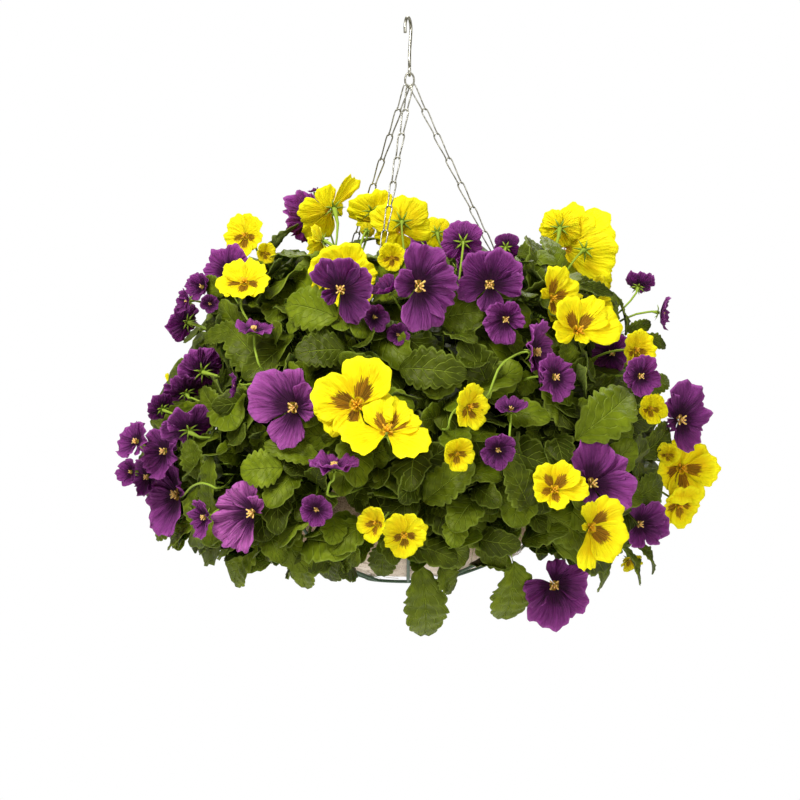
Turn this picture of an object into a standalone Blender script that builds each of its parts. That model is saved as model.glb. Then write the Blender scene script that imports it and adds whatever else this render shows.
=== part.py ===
# Pansy hanging basket: a wire basket with a coir liner, hung on three chains from a hook,
# and filled with purple and yellow pansies.
# Metres, +Z up, the viewer on the -Y side, the origin in the seat of the hook's crown.

import math
import random

import bmesh
import bpy
from mathutils import Matrix, Vector, noise
from mathutils.bvhtree import BVHTree
from mathutils.geometry import tessellate_polygon

MM = 0.001
GAP = 0.35 * MM

# Hook and gather ring
HOOK_WIRE = 3.2 * MM
HOOK_RADIUS = 11.0 * MM
HOOK_LEAN = math.radians(14.0)
CROWN_START = -20
CROWN_END = 180
CROWN_STEPS = 8
EYE_OFFSET = 1.5 * MM
EYE_HEIGHT = -52.0 * MM
EYE_RADIUS = 4.6 * MM
EYE_TURN = 310
EYE_STEPS = 8
SHANK_END = 7.0 * MM
RING_WIRE = 2.0 * MM
RING_HALF_WIDTH = 4.5 * MM
RING_HALF_HEIGHT = 7.5 * MM
RING_STEPS = 12

# Chains
CHAIN_AZIMUTHS = (12.0, 132.0, 252.0)
RING_SEATS = (38.0, -38.0, 0.0)
LINKS = 14
LINK_WIRE = 1.9 * MM
LINK_CONTACT = 1.25 * MM
# A link's widest places: share of its length, half width and turn in degrees
LINK_STATIONS = ((0.27, 2.4 * MM, 0), (0.73, 2.4 * MM, 90))
FIRST_LINK_STATIONS = ((0.06, 2.7 * MM, 0), (0.30, 2.4 * MM, 0), (0.73, 2.4 * MM, 90))
LAST_LINK_STATIONS = ((0.27, 2.4 * MM, 0), (0.70, 4.9 * MM, 90), (0.90, 4.9 * MM, 90))
# A three-sided wire is drawn this much wider than the round wire it stands for
THREE_SIDED = 1.2

# Basket
RIM_RADIUS = 175.0 * MM
RIM_HEIGHT = -404.0 * MM
RIM_WIRE = 5.0 * MM
RIB_WIRE = 3.2 * MM
RIBS = 8
ROUND_STEPS = 18
BASKET_STATIONS = ((175, 0), (171, -40), (154, -86), (112, -132), (42, -154))
LINER_THICKNESS = 8.0 * MM
LINER_STAND_OFF = 2.9 * MM
LIP_INSET = 8.0 * MM
LIP_RISE = 4.0 * MM
LIP_DEPTH = 6.0 * MM
BOTTOM_STEPS = 12
SOIL_DROP = 15.0 * MM
SOIL_DOME = 6.0 * MM

# Plants
PLANTS = 6
PLANT_STEM_RADIUS = 6.0 * MM
PLANT_STEM_SEAT = 108.0 * MM
PLANT_STEM_DEPTH = 24.0 * MM
PLANT_STEM_HEAD = -380.0 * MM
CHAIN_CLEARANCE = 8.0 * MM
PLANT_CLEARANCE = 1.2 * MM
# Radius and height of places in the middle of a plant's mass, which roots grow towards
MASS_HEARTS = ((70, -340), (120, -335), (160, -350), (192, -395), (200, -450), (199, -498))
ROOT_DEPTH = 7.0 * MM
# Half section of a plant's leafy heart: radius and height, from the top round to the underside
MASS_PROFILE = (
    (34, -304), (76, -274), (128, -282), (174, -318), (202, -372), (214, -432),
    (210, -492), (197, -522), (188, -486), (184, -398), (34, -398),
)
MASS_CAP = (
    (10, 0, 1), (10, 1, 2), (10, 2, 9), (2, 3, 9), (3, 4, 9), (4, 5, 9), (5, 8, 9), (5, 6, 8), (6, 7, 8),
)
# How far each row of the section is turned where two plants meet, in degrees; rows 4 to 7 lie
# outside the chains, so there plants by a chain meet too
MEETING_TURNS = ((0, 0, 0, 0, 4, -5, 5, -3, 0, 0, 0), (0, 0, 0, 0, -5, 3, -4, 4, 0, 0, 0))
OUTSIDE_CHAINS = (4, 5, 6, 7)
MASS_LUMPED = 8
MASS_COLUMNS = 4
MASS_LUMP = 17.0 * MM
MASS_GRAIN = 22.0
MOUND_OUTLINE = (
    (-180, 95), (-210, 150), (-240, 182), (-280, 222), (-320, 240), (-380, 262),
    (-430, 280), (-470, 282), (-510, 262), (-540, 228), (-570, 185), (-620, 140),
)

# Blooms and leaves
# Each petal: first and last angle, reach as a share of the radius, layer above the hindmost
PETALS = (
    (4, 66, 1.00, 0.0), (74, 136, 0.90, 2.2), (144, 216, 0.94, 4.6), (224, 286, 0.90, 2.2),
    (294, 356, 1.00, 1.1),
)
PETAL_THICKNESS = 1.1 * MM
LARGE_LAYER = 2.4 * MM
SMALL_LAYER = 1.0 * MM
LARGE_CUP = 0.18
SMALL_CUP = 0.30
SMALL_THROAT = 0.62
THROAT = 0.17
LEAST_THROAT = 2.6 * MM
# Half a leaf's outline: share of its length, share of its half width, lift as a share of the length
LEAF_OUTLINE = ((0.10, 0.72, 0.02), (0.34, 1.0, 0.07), (0.62, 0.80, 0.01), (0.82, 0.62, 0.05))
LEAF_RIB = ((0.30, -0.03), (0.66, -0.02))
PLAIN_OUTLINE = ((0.12, 0.80, 0.02), (0.42, 1.0, 0.08), (0.76, 0.70, 0.02))
PLAIN_RIB = ((0.45, -0.03),)
LEAF_ARCH = 0.16
LEAF_THICKNESS = 1.0 * MM
LEAF_CLEARANCE = 0.7 * MM
PETIOLE_HALF_WIDTH = 1.3 * MM
PEDICEL_RADIUS = 1.2 * MM
CALYX_LENGTH = 9.0 * MM
LARGE_BLOOM = 66
MEDIUM_BLOOM = 48
SMALL_BLOOM = 38
VIEW_POINT = Vector((-0.008, -2.998, -0.275))

GREEN, PURPLE, YELLOW = 0, 1, 2
# Ways a flower stem may bend to reach its plant, in millimetres
STEM_REACHES = (20, 34, 48, 64)
STEM_SWINGS = (0, 14, -14, 28, -28, 42, -42, 56, -56)
STEM_DROPS = (0, 14, -14, 28)

# Each bloom seen in front: across, height, set back, turn, lift, roll (degrees) and size, in
# millimetres. A turn of 0 looks at the viewer and 90 to the viewer's right.
YELLOW_BLOOMS = (
    (-162, -216, 5, -20, 10, 0, 46), (-143, -233, 4, 25, 0, 0, 24), (-163, -263, -18, -10, 35, 0, 54),
    (-75, -188, 90, -150, 25, 0, 62), (-86, -222, 78, -110, -10, 0, 42), (-38, -192, 120, -170, 40, 0, 46),
    (-6, -201, 116, 180, 10, 0, 48), (-63, -258, 45, 0, 0, 20, 70), (177, -230, 20, 150, 10, 0, 62),
    (193, -256, 80, 60, 0, 0, 30), (144, -210, 58, 170, 10, 0, 42), (152, -270, 15, 30, 0, -15, 60),
    (173, -300, 5, 25, 15, 20, 70), (281, -450, 10, 50, 0, 0, 66), (274, -490, 4, 60, -20, 0, 38),
    (-54, -378, 0, -5, 8, 0, 76), (-21, -412, 0, 5, 35, 10, 72), (-31, -503, 0, -40, 0, 0, 36),
    (-4, -515, -4, 0, -15, 0, 46), (227, -330, -25, 35, 0, 0, 44), (195, -513, -30, 20, 0, 30, 64),
    (152, -467, -5, 5, 10, 0, 54), (60, -387, 0, 45, 0, 20, 46), (48, -433, 0, 15, -5, 0, 36),
    (-16, -238, 20, 0, 0, 0, 30), (-41, -211, 135, 170, 10, 0, 18), (29, -213, 190, 180, 0, 0, 36),
    (188, -266, 62, 40, 10, 0, 24), (192, -285, 38, 30, -10, 0, 26), (242, -388, 0, 20, 0, 0, 34),
    (259, -435, 60, 10, 10, 0, 26), (222, -540, 10, 30, -50, 0, 28),
)
PURPLE_BLOOMS = (
    (-105, -193, 105, -110, 0, 0, 46), (-180, -252, 40, -20, 20, 0, 54), (-205, -267, -11, -40, 10, 0, 34),
    (-220, -281, -24, -60, 0, 0, 28), (-221, -302, 40, -130, 10, 0, 46), (-154, -311, 0, 0, 72, 0, 44),
    (-213, -342, 70, -150, 20, 0, 46), (-222, -364, 74, -160, 45, 0, 42), (-246, -380, 30, -150, 30, 0, 34),
    (-218, -402, 45, -160, 45, 0, 50), (-246, -427, 43, -40, 0, 0, 46), (-271, -420, -44, -80, 20, 0, 40),
    (-277, -452, -16, -60, 0, 0, 26), (-260, -457, 57, -90, 0, 0, 38), (-240, -478, 84, -100, 0, 0, 58),
    (-203, -497, -20, -85, -10, 0, 40), (-167, -495, 6, -35, -5, 0, 66), (-124, -385, 12, -18, 0, 0, 70),
    (-66, -268, -5, 0, 5, 0, 62), (16, -267, 0, 15, 0, 0, 80), (-18, -272, 10, -60, 50, 0, 34),
    (55, -223, 95, 180, 0, 0, 44), (50, -250, 120, 60, 0, 0, 36), (83, -263, 0, 0, 0, 0, 62),
    (94, -299, 14, 5, -10, 0, 46), (125, -332, 0, 65, 0, 0, 64), (146, -357, -14, 42, 0, 0, 48),
    (230, -266, 10, 160, 45, 0, 36), (252, -293, 5, 80, -10, 0, 38), (232, -356, -39, 20, 0, 0, 42),
    (277, -393, -20, 30, 0, 0, 74), (193, -453, 35, 25, 10, 0, 68), (240, -504, 0, 25, 0, 0, 50),
    (148, -573, -46, 0, -5, 0, 68), (-198, -284, 34, 0, 0, 0, 22), (-171, -365, 0, -80, 0, 0, 28),
    (-92, -490, 10, 0, 0, 0, 34), (-34, -297, 28, 20, 0, 0, 30), (-10, -315, 44, 0, 0, 0, 24),
    (98, -228, 109, 170, 0, 0, 30), (103, -390, 10, 0, 60, 0, 32), (90, -430, 8, 0, -10, 0, 36),
    (205, -333, 62, -20, 0, 0, 42), (-74, -448, 0, 0, 72, 0, 50), (-94, -172, 110, -60, 60, 0, 12),
)
# Behind, the blooms stand in rows: height, how many, first and last azimuth
BACK_LARGE_ROWS = ((-222, 1, 84, 84), (-292, 3, 38, 146), (-386, 4, 16, 164), (-482, 3, 40, 140))
BACK_SMALL_ROWS = ((-250, 2, 60, 118), (-340, 3, 32, 146), (-436, 2, 60, 120), (-530, 3, 34, 148))
BACK_LARGE_SIZES = (62, 56, 68, 58)
BACK_SMALL_SIZES = (44, 38, 46)
# A bloom that meets something is drawn nearer or farther along the line of sight
DEPTH_SHIFTS = (0, 8, -8, 16, -16, 24, -24, 32, -32, 44, -44)

# Each leaf seen in front: base across and height, tip across and height, width, and how far base
# and tip are set back from the mound's outline
FRONT_LEAVES = (
    (-70, -298, -123, -282, 44, 40, 25),
    (30, -298, 76, -292, 40, 45, 28),
    (-8, -348, 56, -352, 42, 40, 12),
    (16, -482, 64, -443, 36, 30, 10),
    (122, -282, 119, -217, 30, 40, 70),
    (143, -270, 141, -214, 28, 40, 75),
    (12, -545, 19, -616, 46, 20, 0),
    (12, -512, 60, -542, 42, 24, 0),
    (106, -542, 96, -602, 44, 30, 0),
    (183, -532, 195, -570, 34, 30, 10),
    (-150, -522, -178, -564, 42, 30, 10),
    (-103, -525, -105, -570, 34, 30, 10),
    (-100, -496, -142, -537, 34, 40, 26),
    (-218, -500, -256, -516, 26, 40, 10),
    (-125, -448, -168, -450, 38, 30, 4),
    (-88, -440, -144, -424, 26, 40, 18),
    (-196, -495, -198, -438, 28, 30, 14),
    (-208, -460, -220, -420, 26, 40, 20),
    (-63, -330, -112, -332, 40, 50, 22),
    (167, -420, 230, -368, 50, 40, 8),
    (192, -420, 224, -405, 30, 50, 20),
    (232, -435, 262, -405, 34, 50, 20),
    (224, -480, 257, -460, 34, 40, 20),
    (137, -488, 172, -525, 40, 40, 14),
    (40, -480, 80, -528, 36, 40, 8),
    (122, -490, 97, -442, 36, 40, 14),
    (82, -375, 57, -320, 38, 50, 22),
    (157, -352, 159, -313, 28, 60, 40),
    (165, -410, 135, -365, 44, 50, 20),
    (-165, -310, -203, -320, 24, 40, 20),
)
# The other leaves stand in rows over each plant: height, and how many
LEAF_ROWS = ((-285, 1), (-330, 1), (-400, 2), (-470, 2), (-520, 1))
# How a leaf in front is tried until it is clear: whether it must cross nothing of its own plant,
# its share of full size, and whether it has all its points
LEAF_TRIES = ((True, 1.0, True), (False, 1.0, True), (False, 0.8, True), (False, 1.0, False))
LEAF_LENGTH = 56.0 * MM
LEAF_WIDTH = 42.0 * MM
LEAF_SPREAD = 48.0
LEAF_BASE_DEPTH = 46.0
LEAF_ATTEMPTS = 20
LOW_LEAVES = -450


def clear_scene():
    """Start from an empty file."""
    for obj in list(bpy.data.objects):
        bpy.data.objects.remove(obj, do_unlink=True)


def finish(name, colour, roughness, metallic=0.0):
    """A plain Principled material in the part's colour."""
    material = bpy.data.materials.new(name)
    material.use_nodes = True
    shader = material.node_tree.nodes["Principled BSDF"]
    shader.inputs["Base Color"].default_value = (*colour, 1.0)
    shader.inputs["Roughness"].default_value = roughness
    shader.inputs["Metallic"].default_value = metallic
    material.diffuse_color = (*colour, 1.0)
    return material


class Shape:
    """Corner points and triangles of one closed body, in one colour."""

    def __init__(self, points, faces, colour=GREEN):
        self.points = [Vector(point) for point in points]
        self.faces = []
        self.colour = colour
        for face in faces:
            if len(face) < 5:
                self.faces += [(face[0], face[step], face[step + 1]) for step in range(1, len(face) - 1)]
                continue
            for triangle in tessellate_polygon([[self.points[corner] for corner in face]]):
                self.faces.append(tuple(face[corner] for corner in triangle))

    def tree(self):
        return BVHTree.FromPolygons(self.points, self.faces)


def shape_object(name, shape, materials):
    """Put a shape in the scene as a mesh object with its faces pointing out."""
    mesh = bpy.data.meshes.new(name)
    mesh.from_pydata([tuple(point) for point in shape.points], [], shape.faces)
    for material in materials:
        mesh.materials.append(material)
    mesh.polygons.foreach_set("material_index", [shape.colour] * len(mesh.polygons))
    body = bmesh.new()
    body.from_mesh(mesh)
    bmesh.ops.recalc_face_normals(body, faces=body.faces)
    body.to_mesh(mesh)
    body.free()
    obj = bpy.data.objects.new(name, mesh)
    bpy.context.scene.collection.objects.link(obj)
    return obj


def is_closed(mesh):
    """Every edge has two faces."""
    body = bmesh.new()
    body.from_mesh(mesh)
    closed = len(body.faces) > 0 and all(edge.is_manifold for edge in body.edges)
    body.free()
    return closed


def keep_largest(mesh):
    """Drop the loose scraps and sealed hollows that a union leaves, and split the faces."""
    body = bmesh.new()
    body.from_mesh(mesh)
    pieces = []
    unseen = set(body.verts)
    while unseen:
        piece = {unseen.pop()}
        front = list(piece)
        while front:
            vert = front.pop()
            for edge in vert.link_edges:
                other = edge.other_vert(vert)
                if other in unseen:
                    unseen.discard(other)
                    piece.add(other)
                    front.append(other)
        pieces.append(piece)
    largest = max(pieces, key=len)
    dropped = [vert for piece in pieces if piece is not largest for vert in piece]
    bmesh.ops.delete(body, geom=dropped, context="VERTS")
    bmesh.ops.triangulate(body, faces=body.faces)
    body.to_mesh(mesh)
    body.free()


def boolean_mesh(base, others, operation, solver, crossing):
    """A body joined with, or cut by, a collection of bodies, as a new mesh."""
    change = base.modifiers.new("change", "BOOLEAN")
    change.operation = operation
    change.operand_type = "COLLECTION"
    change.collection = others
    change.solver = solver
    change.use_self = crossing
    graph = bpy.context.evaluated_depsgraph_get()
    mesh = bpy.data.meshes.new_from_object(base.evaluated_get(graph))
    base.modifiers.remove(change)
    return mesh


def change_body(base, shapes, operation, materials):
    """Join shapes to a body, or cut them from it, so that it stays one closed body."""
    others = bpy.data.collections.new(base.name + " others")
    bpy.context.scene.collection.children.link(others)
    for index, shape in enumerate(shapes):
        piece = shape_object(f"{base.name} piece {index}", shape, materials)
        bpy.context.scene.collection.objects.unlink(piece)
        others.objects.link(piece)
    for solver, crossing in (("EXACT", False), ("MANIFOLD", False), ("EXACT", True)):
        mesh = boolean_mesh(base, others, operation, solver, crossing)
        if is_closed(mesh):
            break
    keep_largest(mesh)
    base.data = mesh
    for piece in list(others.objects):
        bpy.data.objects.remove(piece, do_unlink=True)
    bpy.data.collections.remove(others)


def fuse(name, shapes, materials):
    """Join shapes into one closed body, smooth but for its sharp edges."""
    base = shape_object(name, shapes[0], materials)
    if len(shapes) > 1:
        change_body(base, shapes[1:], "UNION", materials)
    base.data.shade_smooth()
    base.data.set_sharp_from_angle(angle=math.radians(40))
    return base


def tube(points, radii, sides, closed=False):
    """A wire swept along points, with a radius at each; closed makes a ring of it."""
    count = len(points)
    points = [Vector(point) for point in points]
    tangents = []
    for index in range(count):
        before = points[index - 1] if closed or index > 0 else points[index]
        after = points[(index + 1) % count] if closed or index < count - 1 else points[index]
        tangents.append((after - before).normalized())
    side = tangents[0].orthogonal().normalized()
    rings = []
    for index in range(count):
        if index:
            side = tangents[index - 1].rotation_difference(tangents[index]) @ side
        side = (side - tangents[index] * side.dot(tangents[index])).normalized()
        across = tangents[index].cross(side)
        ring = []
        for step in range(sides):
            angle = math.tau * step / sides
            ring.append(points[index] + (side * math.cos(angle) + across * math.sin(angle)) * radii[index])
        rings.append(ring)
    corners = [corner for ring in rings for corner in ring]
    twist = 0
    if closed:
        start = rings[0][0] - points[0]
        last = rings[-1]
        twist = max(range(sides), key=lambda step: start.dot(last[step] - points[-1]))
    faces = []
    for index in range(count if closed else count - 1):
        following = (index + 1) % count
        shift = twist if closed and following == 0 else 0
        for step in range(sides):
            a = index * sides + (step + shift) % sides
            b = index * sides + (step + 1 + shift) % sides
            c = following * sides + (step + 1) % sides
            d = following * sides + step
            faces.append((a, b, c, d))
    if not closed:
        faces.append(tuple(range(sides))[::-1])
        faces.append(tuple((count - 1) * sides + step for step in range(sides)))
    return corners, faces


def turned(profile, steps):
    """Turn a profile about Z; its first and last points lie on the axis."""
    corners = [(0.0, 0.0, profile[0][1])]
    inner = profile[1:-1]
    for radius, height in inner:
        for step in range(steps):
            corners.append(polar(radius, CHAIN_AZIMUTHS[0] + 360 * step / steps, height))
    corners.append((0.0, 0.0, profile[-1][1]))
    last = len(corners) - 1
    faces = []
    for step in range(steps):
        following = (step + 1) % steps
        faces.append((0, 1 + following, 1 + step))
        for row in range(len(inner) - 1):
            low = 1 + row * steps
            high = low + steps
            faces.append((low + step, low + following, high + following, high + step))
        top = 1 + (len(inner) - 1) * steps
        faces.append((last, top + step, top + following))
    return corners, faces


def polar(radius, azimuth, height):
    """A point at an azimuth in degrees from +X."""
    angle = math.radians(azimuth)
    return Vector((radius * math.cos(angle), radius * math.sin(angle), height))


def table_value(table, height):
    """Read a radius at a height from a table of heights and radii, in millimetres."""
    if height >= table[0][0]:
        return table[0][1]
    for (high, wide), (low, narrow) in zip(table, table[1:]):
        if height >= low:
            share = (high - height) / (high - low)
            return wide + (narrow - wide) * share
    return table[-1][1]


def seen_point(across, height, depth):
    """The point at a depth that looks from in front as if it stood at across and height."""
    flat = Vector((across * MM, 0.0, height * MM))
    share = (depth * MM - VIEW_POINT.y) / (flat.y - VIEW_POINT.y)
    return VIEW_POINT + (flat - VIEW_POINT) * share


def front_depth(across, height):
    """Depth of the mound's outline at a place seen from in front."""
    radius = table_value(MOUND_OUTLINE, height)
    return -math.sqrt(max(radius * radius - across * across, 0.0))


def facing(turn, lift):
    """A direction from a turn away from the viewer and a lift, in degrees."""
    turn = math.radians(turn)
    lift = math.radians(lift)
    level = math.cos(lift)
    return Vector((math.sin(turn) * level, -math.cos(turn) * level, math.sin(lift)))


def upright_frame(origin, forward, roll):
    """A frame with Z forward and Y as near up as it can be, rolled in degrees about Z."""
    forward = forward.normalized()
    up = Vector((0.0, 0.0, 1.0))
    if abs(forward.dot(up)) > 0.97:
        up = Vector((0.0, 1.0, 0.0))
    side = up.cross(forward).normalized()
    up = forward.cross(side)
    axes = Matrix((side, up, forward)).transposed().to_4x4()
    return Matrix.Translation(origin) @ axes @ Matrix.Rotation(math.radians(roll), 4, "Z")


def make_hook(material):
    """An open crown, a straight shank and a closed eye, bent from one wire."""
    radius = HOOK_WIRE / 2
    centre = Vector((0.0, 0.0, -HOOK_RADIUS))
    bend = HOOK_RADIUS + radius
    plane = Vector((math.sin(HOOK_LEAN), math.cos(HOOK_LEAN), 0.0))
    points = []
    for step in range(CROWN_STEPS + 1):
        angle = math.radians(CROWN_START + (CROWN_END - CROWN_START) * step / CROWN_STEPS)
        points.append(centre - plane * bend * math.cos(angle) + Vector((0, 0, bend * math.sin(angle))))
    eye = Vector((EYE_OFFSET, 0.0, EYE_HEIGHT))
    points.append(eye + Vector((0.0, 0.0, EYE_RADIUS + SHANK_END)))
    for step in range(EYE_STEPS + 1):
        angle = math.radians(90 - EYE_TURN * step / EYE_STEPS)
        points.append(eye + Vector((0, math.cos(angle), math.sin(angle))) * EYE_RADIUS)
    shape = Shape(*tube(points, [radius] * len(points), 6))
    return fuse("hook", [shape], [material])


def ring_point(seat):
    """A point on the gather ring's wire, in degrees from its lowest point."""
    angle = math.radians(seat)
    top = EYE_HEIGHT - EYE_RADIUS + HOOK_WIRE / 2 + RING_WIRE / 2 + GAP
    height = top - RING_HALF_HEIGHT - RING_HALF_HEIGHT * math.cos(angle)
    return Vector((EYE_OFFSET + RING_HALF_WIDTH * math.sin(angle), 0.0, height))


def make_gather_ring(material):
    """The oval ring that hangs in the hook's eye and carries the three chains."""
    points = [ring_point(360 * step / RING_STEPS) for step in range(RING_STEPS)]
    shape = Shape(*tube(points, [RING_WIRE / 2] * RING_STEPS, 5, closed=True))
    return fuse("gather_ring", [shape], [material])


def link_path(top, down, side, length, stations):
    """One link of a loop chain: two pointed loops at right angles, widest at its stations."""
    across = down.cross(side)
    reaches = []
    for share, reach, twist in stations:
        angle = math.radians(twist)
        outward = (side * math.cos(angle) + across * math.sin(angle)) * reach
        reaches.append((top + down * (length * share), outward))
    points = [top] + [centre + outward for centre, outward in reaches]
    points.append(top + down * length)
    return points + [centre - outward for centre, outward in reversed(reaches)]


def make_chain(index, material):
    """Fourteen links from the gather ring to a loop under the rim, touching where they hang."""
    azimuth = CHAIN_AZIMUTHS[index]
    seat = ring_point(RING_SEATS[index])
    rim = polar(RIM_RADIUS, azimuth, RIM_HEIGHT)
    down = (rim - seat).normalized()
    link_radius = LINK_WIRE / 2
    start = seat - down * (RING_WIRE / 2 + link_radius + GAP)
    end = rim + down * (RIM_WIRE / 2 + link_radius + GAP)
    pitch = ((end - start).length - LINK_CONTACT) / LINKS
    tangent = ring_point(RING_SEATS[index] + 2) - ring_point(RING_SEATS[index] - 2)
    tangent = (tangent - down * tangent.dot(down)).normalized()
    first_side = tangent.cross(down).normalized()
    last_side = polar(1.0, azimuth + 90, 0.0)
    turn = math.atan2(down.dot(first_side.cross(last_side)), first_side.dot(last_side))
    if abs(turn) > math.pi / 2:
        turn -= math.copysign(math.pi, turn)
    shapes = []
    for number in range(LINKS):
        top = start + down * (pitch * number)
        side = Matrix.Rotation(turn * number / (LINKS - 1), 3, down) @ first_side
        stations = LINK_STATIONS
        if number == 0:
            stations = FIRST_LINK_STATIONS
        if number == LINKS - 1:
            stations = LAST_LINK_STATIONS
        path = link_path(top, down, side, pitch + LINK_CONTACT, stations)
        shapes.append(Shape(*tube(path, [link_radius * THREE_SIDED] * len(path), 3, closed=True)))
    return fuse(f"chain_{index + 1}", shapes, [material])


def hoop(radius, height, wire, sides, steps):
    """A level ring of wire."""
    points = [polar(radius, CHAIN_AZIMUTHS[0] + 360 * step / steps, height) for step in range(steps)]
    return Shape(*tube(points, [wire / 2] * steps, sides, closed=True))


def make_basket_frame(material):
    """Rim, two hoops and eight ribs of wire, welded where they cross."""
    middle = BASKET_STATIONS[2]
    bottom = BASKET_STATIONS[-1]
    shapes = [hoop(RIM_RADIUS, RIM_HEIGHT, RIM_WIRE, 5, ROUND_STEPS)]
    shapes.append(hoop(middle[0] * MM, RIM_HEIGHT + middle[1] * MM, RIB_WIRE * THREE_SIDED, 3, ROUND_STEPS))
    shapes.append(hoop(bottom[0] * MM, RIM_HEIGHT + bottom[1] * MM, RIB_WIRE * THREE_SIDED, 3, BOTTOM_STEPS))
    for rib in range(RIBS):
        azimuth = 360 * rib / RIBS
        points = [polar(r * MM, azimuth, RIM_HEIGHT + z * MM) for r, z in BASKET_STATIONS]
        shapes.append(Shape(*tube(points, [RIB_WIRE / 2 * THREE_SIDED] * len(points), 3)))
    return fuse("basket_frame", shapes, [material])


def liner_profile(offset):
    """The basket's stations drawn in by an offset, from the bottom up."""
    stations = [(r * MM, RIM_HEIGHT + z * MM) for r, z in reversed(BASKET_STATIONS)]
    profile = []
    for index, (radius, height) in enumerate(stations):
        before = stations[max(index - 1, 0)]
        after = stations[min(index + 1, len(stations) - 1)]
        run = Vector((after[0] - before[0], after[1] - before[1])).normalized()
        profile.append((radius - run.y * offset, height + run.x * offset))
    return profile


def make_liner(material):
    """A thick coir bowl inside the wires, its lip just above the rim."""
    outer = liner_profile(LINER_STAND_OFF)
    inner = liner_profile(LINER_STAND_OFF + LINER_THICKNESS)
    lip = RIM_HEIGHT + LIP_RISE
    lip_outer = RIM_RADIUS - LIP_INSET
    profile = [(0.0, outer[0][1])] + outer[:-1]
    profile += [(lip_outer, RIM_HEIGHT - LIP_DEPTH), (lip_outer, lip), (lip_outer - LINER_THICKNESS, lip)]
    profile += list(reversed(inner[:-1]))
    profile.append((0.0, inner[0][1]))
    shape = Shape(*turned(profile, ROUND_STEPS))
    return fuse("coir_liner", [shape], [material])


def plant_azimuths():
    """Six plants, two between each pair of chains."""
    return [CHAIN_AZIMUTHS[0] + 360 / PLANTS * (index + 0.5) for index in range(PLANTS)]


def make_soil(material):
    """Soil that fills the liner, with a plain hole for each plant's stem."""
    inner = liner_profile(LINER_STAND_OFF + LINER_THICKNESS + GAP)
    top = RIM_HEIGHT - SOIL_DROP
    profile = [(0.0, inner[0][1] + GAP)]
    profile += [(radius, height + GAP) for radius, height in inner[:-2]]
    profile.append((RIM_RADIUS - LIP_INSET - LINER_THICKNESS - 2 * MM, top))
    profile.append((0.0, top + SOIL_DOME))
    soil = shape_object("soil", Shape(*turned(profile, ROUND_STEPS)), [material])
    holes = []
    for azimuth in plant_azimuths():
        foot = polar(PLANT_STEM_SEAT, azimuth, top - PLANT_STEM_DEPTH - GAP)
        head = polar(PLANT_STEM_SEAT, azimuth, top + 12 * MM)
        radius = PLANT_STEM_RADIUS + GAP
        holes.append(Shape(*tube([foot, head], [radius, radius], 6)))
    change_body(soil, holes, "DIFFERENCE", [material])
    return soil


def leafy_mass(index):
    """The lumpy heart of one plant, between its neighbours, arching over the rim."""
    low = CHAIN_AZIMUTHS[0] + 360 / PLANTS * index
    high = low + 360 / PLANTS
    corners = []
    count = len(MASS_PROFILE)
    for column in range(MASS_COLUMNS + 1):
        for row, (radius, height) in enumerate(MASS_PROFILE):
            radius *= MM
            near_chain = PLANT_CLEARANCE if row in OUTSIDE_CHAINS else CHAIN_CLEARANCE
            low_gap, high_gap = near_chain, PLANT_CLEARANCE
            low_turn, high_turn = MEETING_TURNS[0][row], MEETING_TURNS[1][row]
            if index % 2:
                low_gap, high_gap = high_gap, low_gap
                low_turn, high_turn = high_turn, low_turn
            first = low + low_turn + math.degrees(math.asin(low_gap / radius))
            last = high + high_turn - math.degrees(math.asin(high_gap / radius))
            azimuth = first + (last - first) * column / MASS_COLUMNS
            point = polar(radius, azimuth, height * MM)
            if row < MASS_LUMPED and 0 < column < MASS_COLUMNS:
                lump = max(noise.noise(point * MASS_GRAIN) + (0.8 if (row + column) % 2 else 0.0), -0.1)
                outward = Vector((point.x, point.y, (point.z + 0.40) * 1.2)).normalized()
                point += outward * lump * MASS_LUMP
            corners.append(point)
    faces = []
    for column in range(MASS_COLUMNS):
        for row in range(count):
            following = (row + 1) % count
            left = column * count
            right = left + count
            faces.append((left + row, left + following, right + following, right + row))
    faces += MASS_CAP
    faces += [tuple(MASS_COLUMNS * count + row for row in triangle)[::-1] for triangle in MASS_CAP]
    return Shape(corners, faces)


def plant_stem(index):
    """The rooted stem that stands in its hole in the soil."""
    azimuth = plant_azimuths()[index]
    foot = polar(PLANT_STEM_SEAT, azimuth, RIM_HEIGHT - SOIL_DROP - PLANT_STEM_DEPTH)
    head = polar(PLANT_STEM_SEAT, azimuth, PLANT_STEM_HEAD)
    return Shape(*tube([foot, head], [PLANT_STEM_RADIUS, PLANT_STEM_RADIUS], 6))


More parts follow.
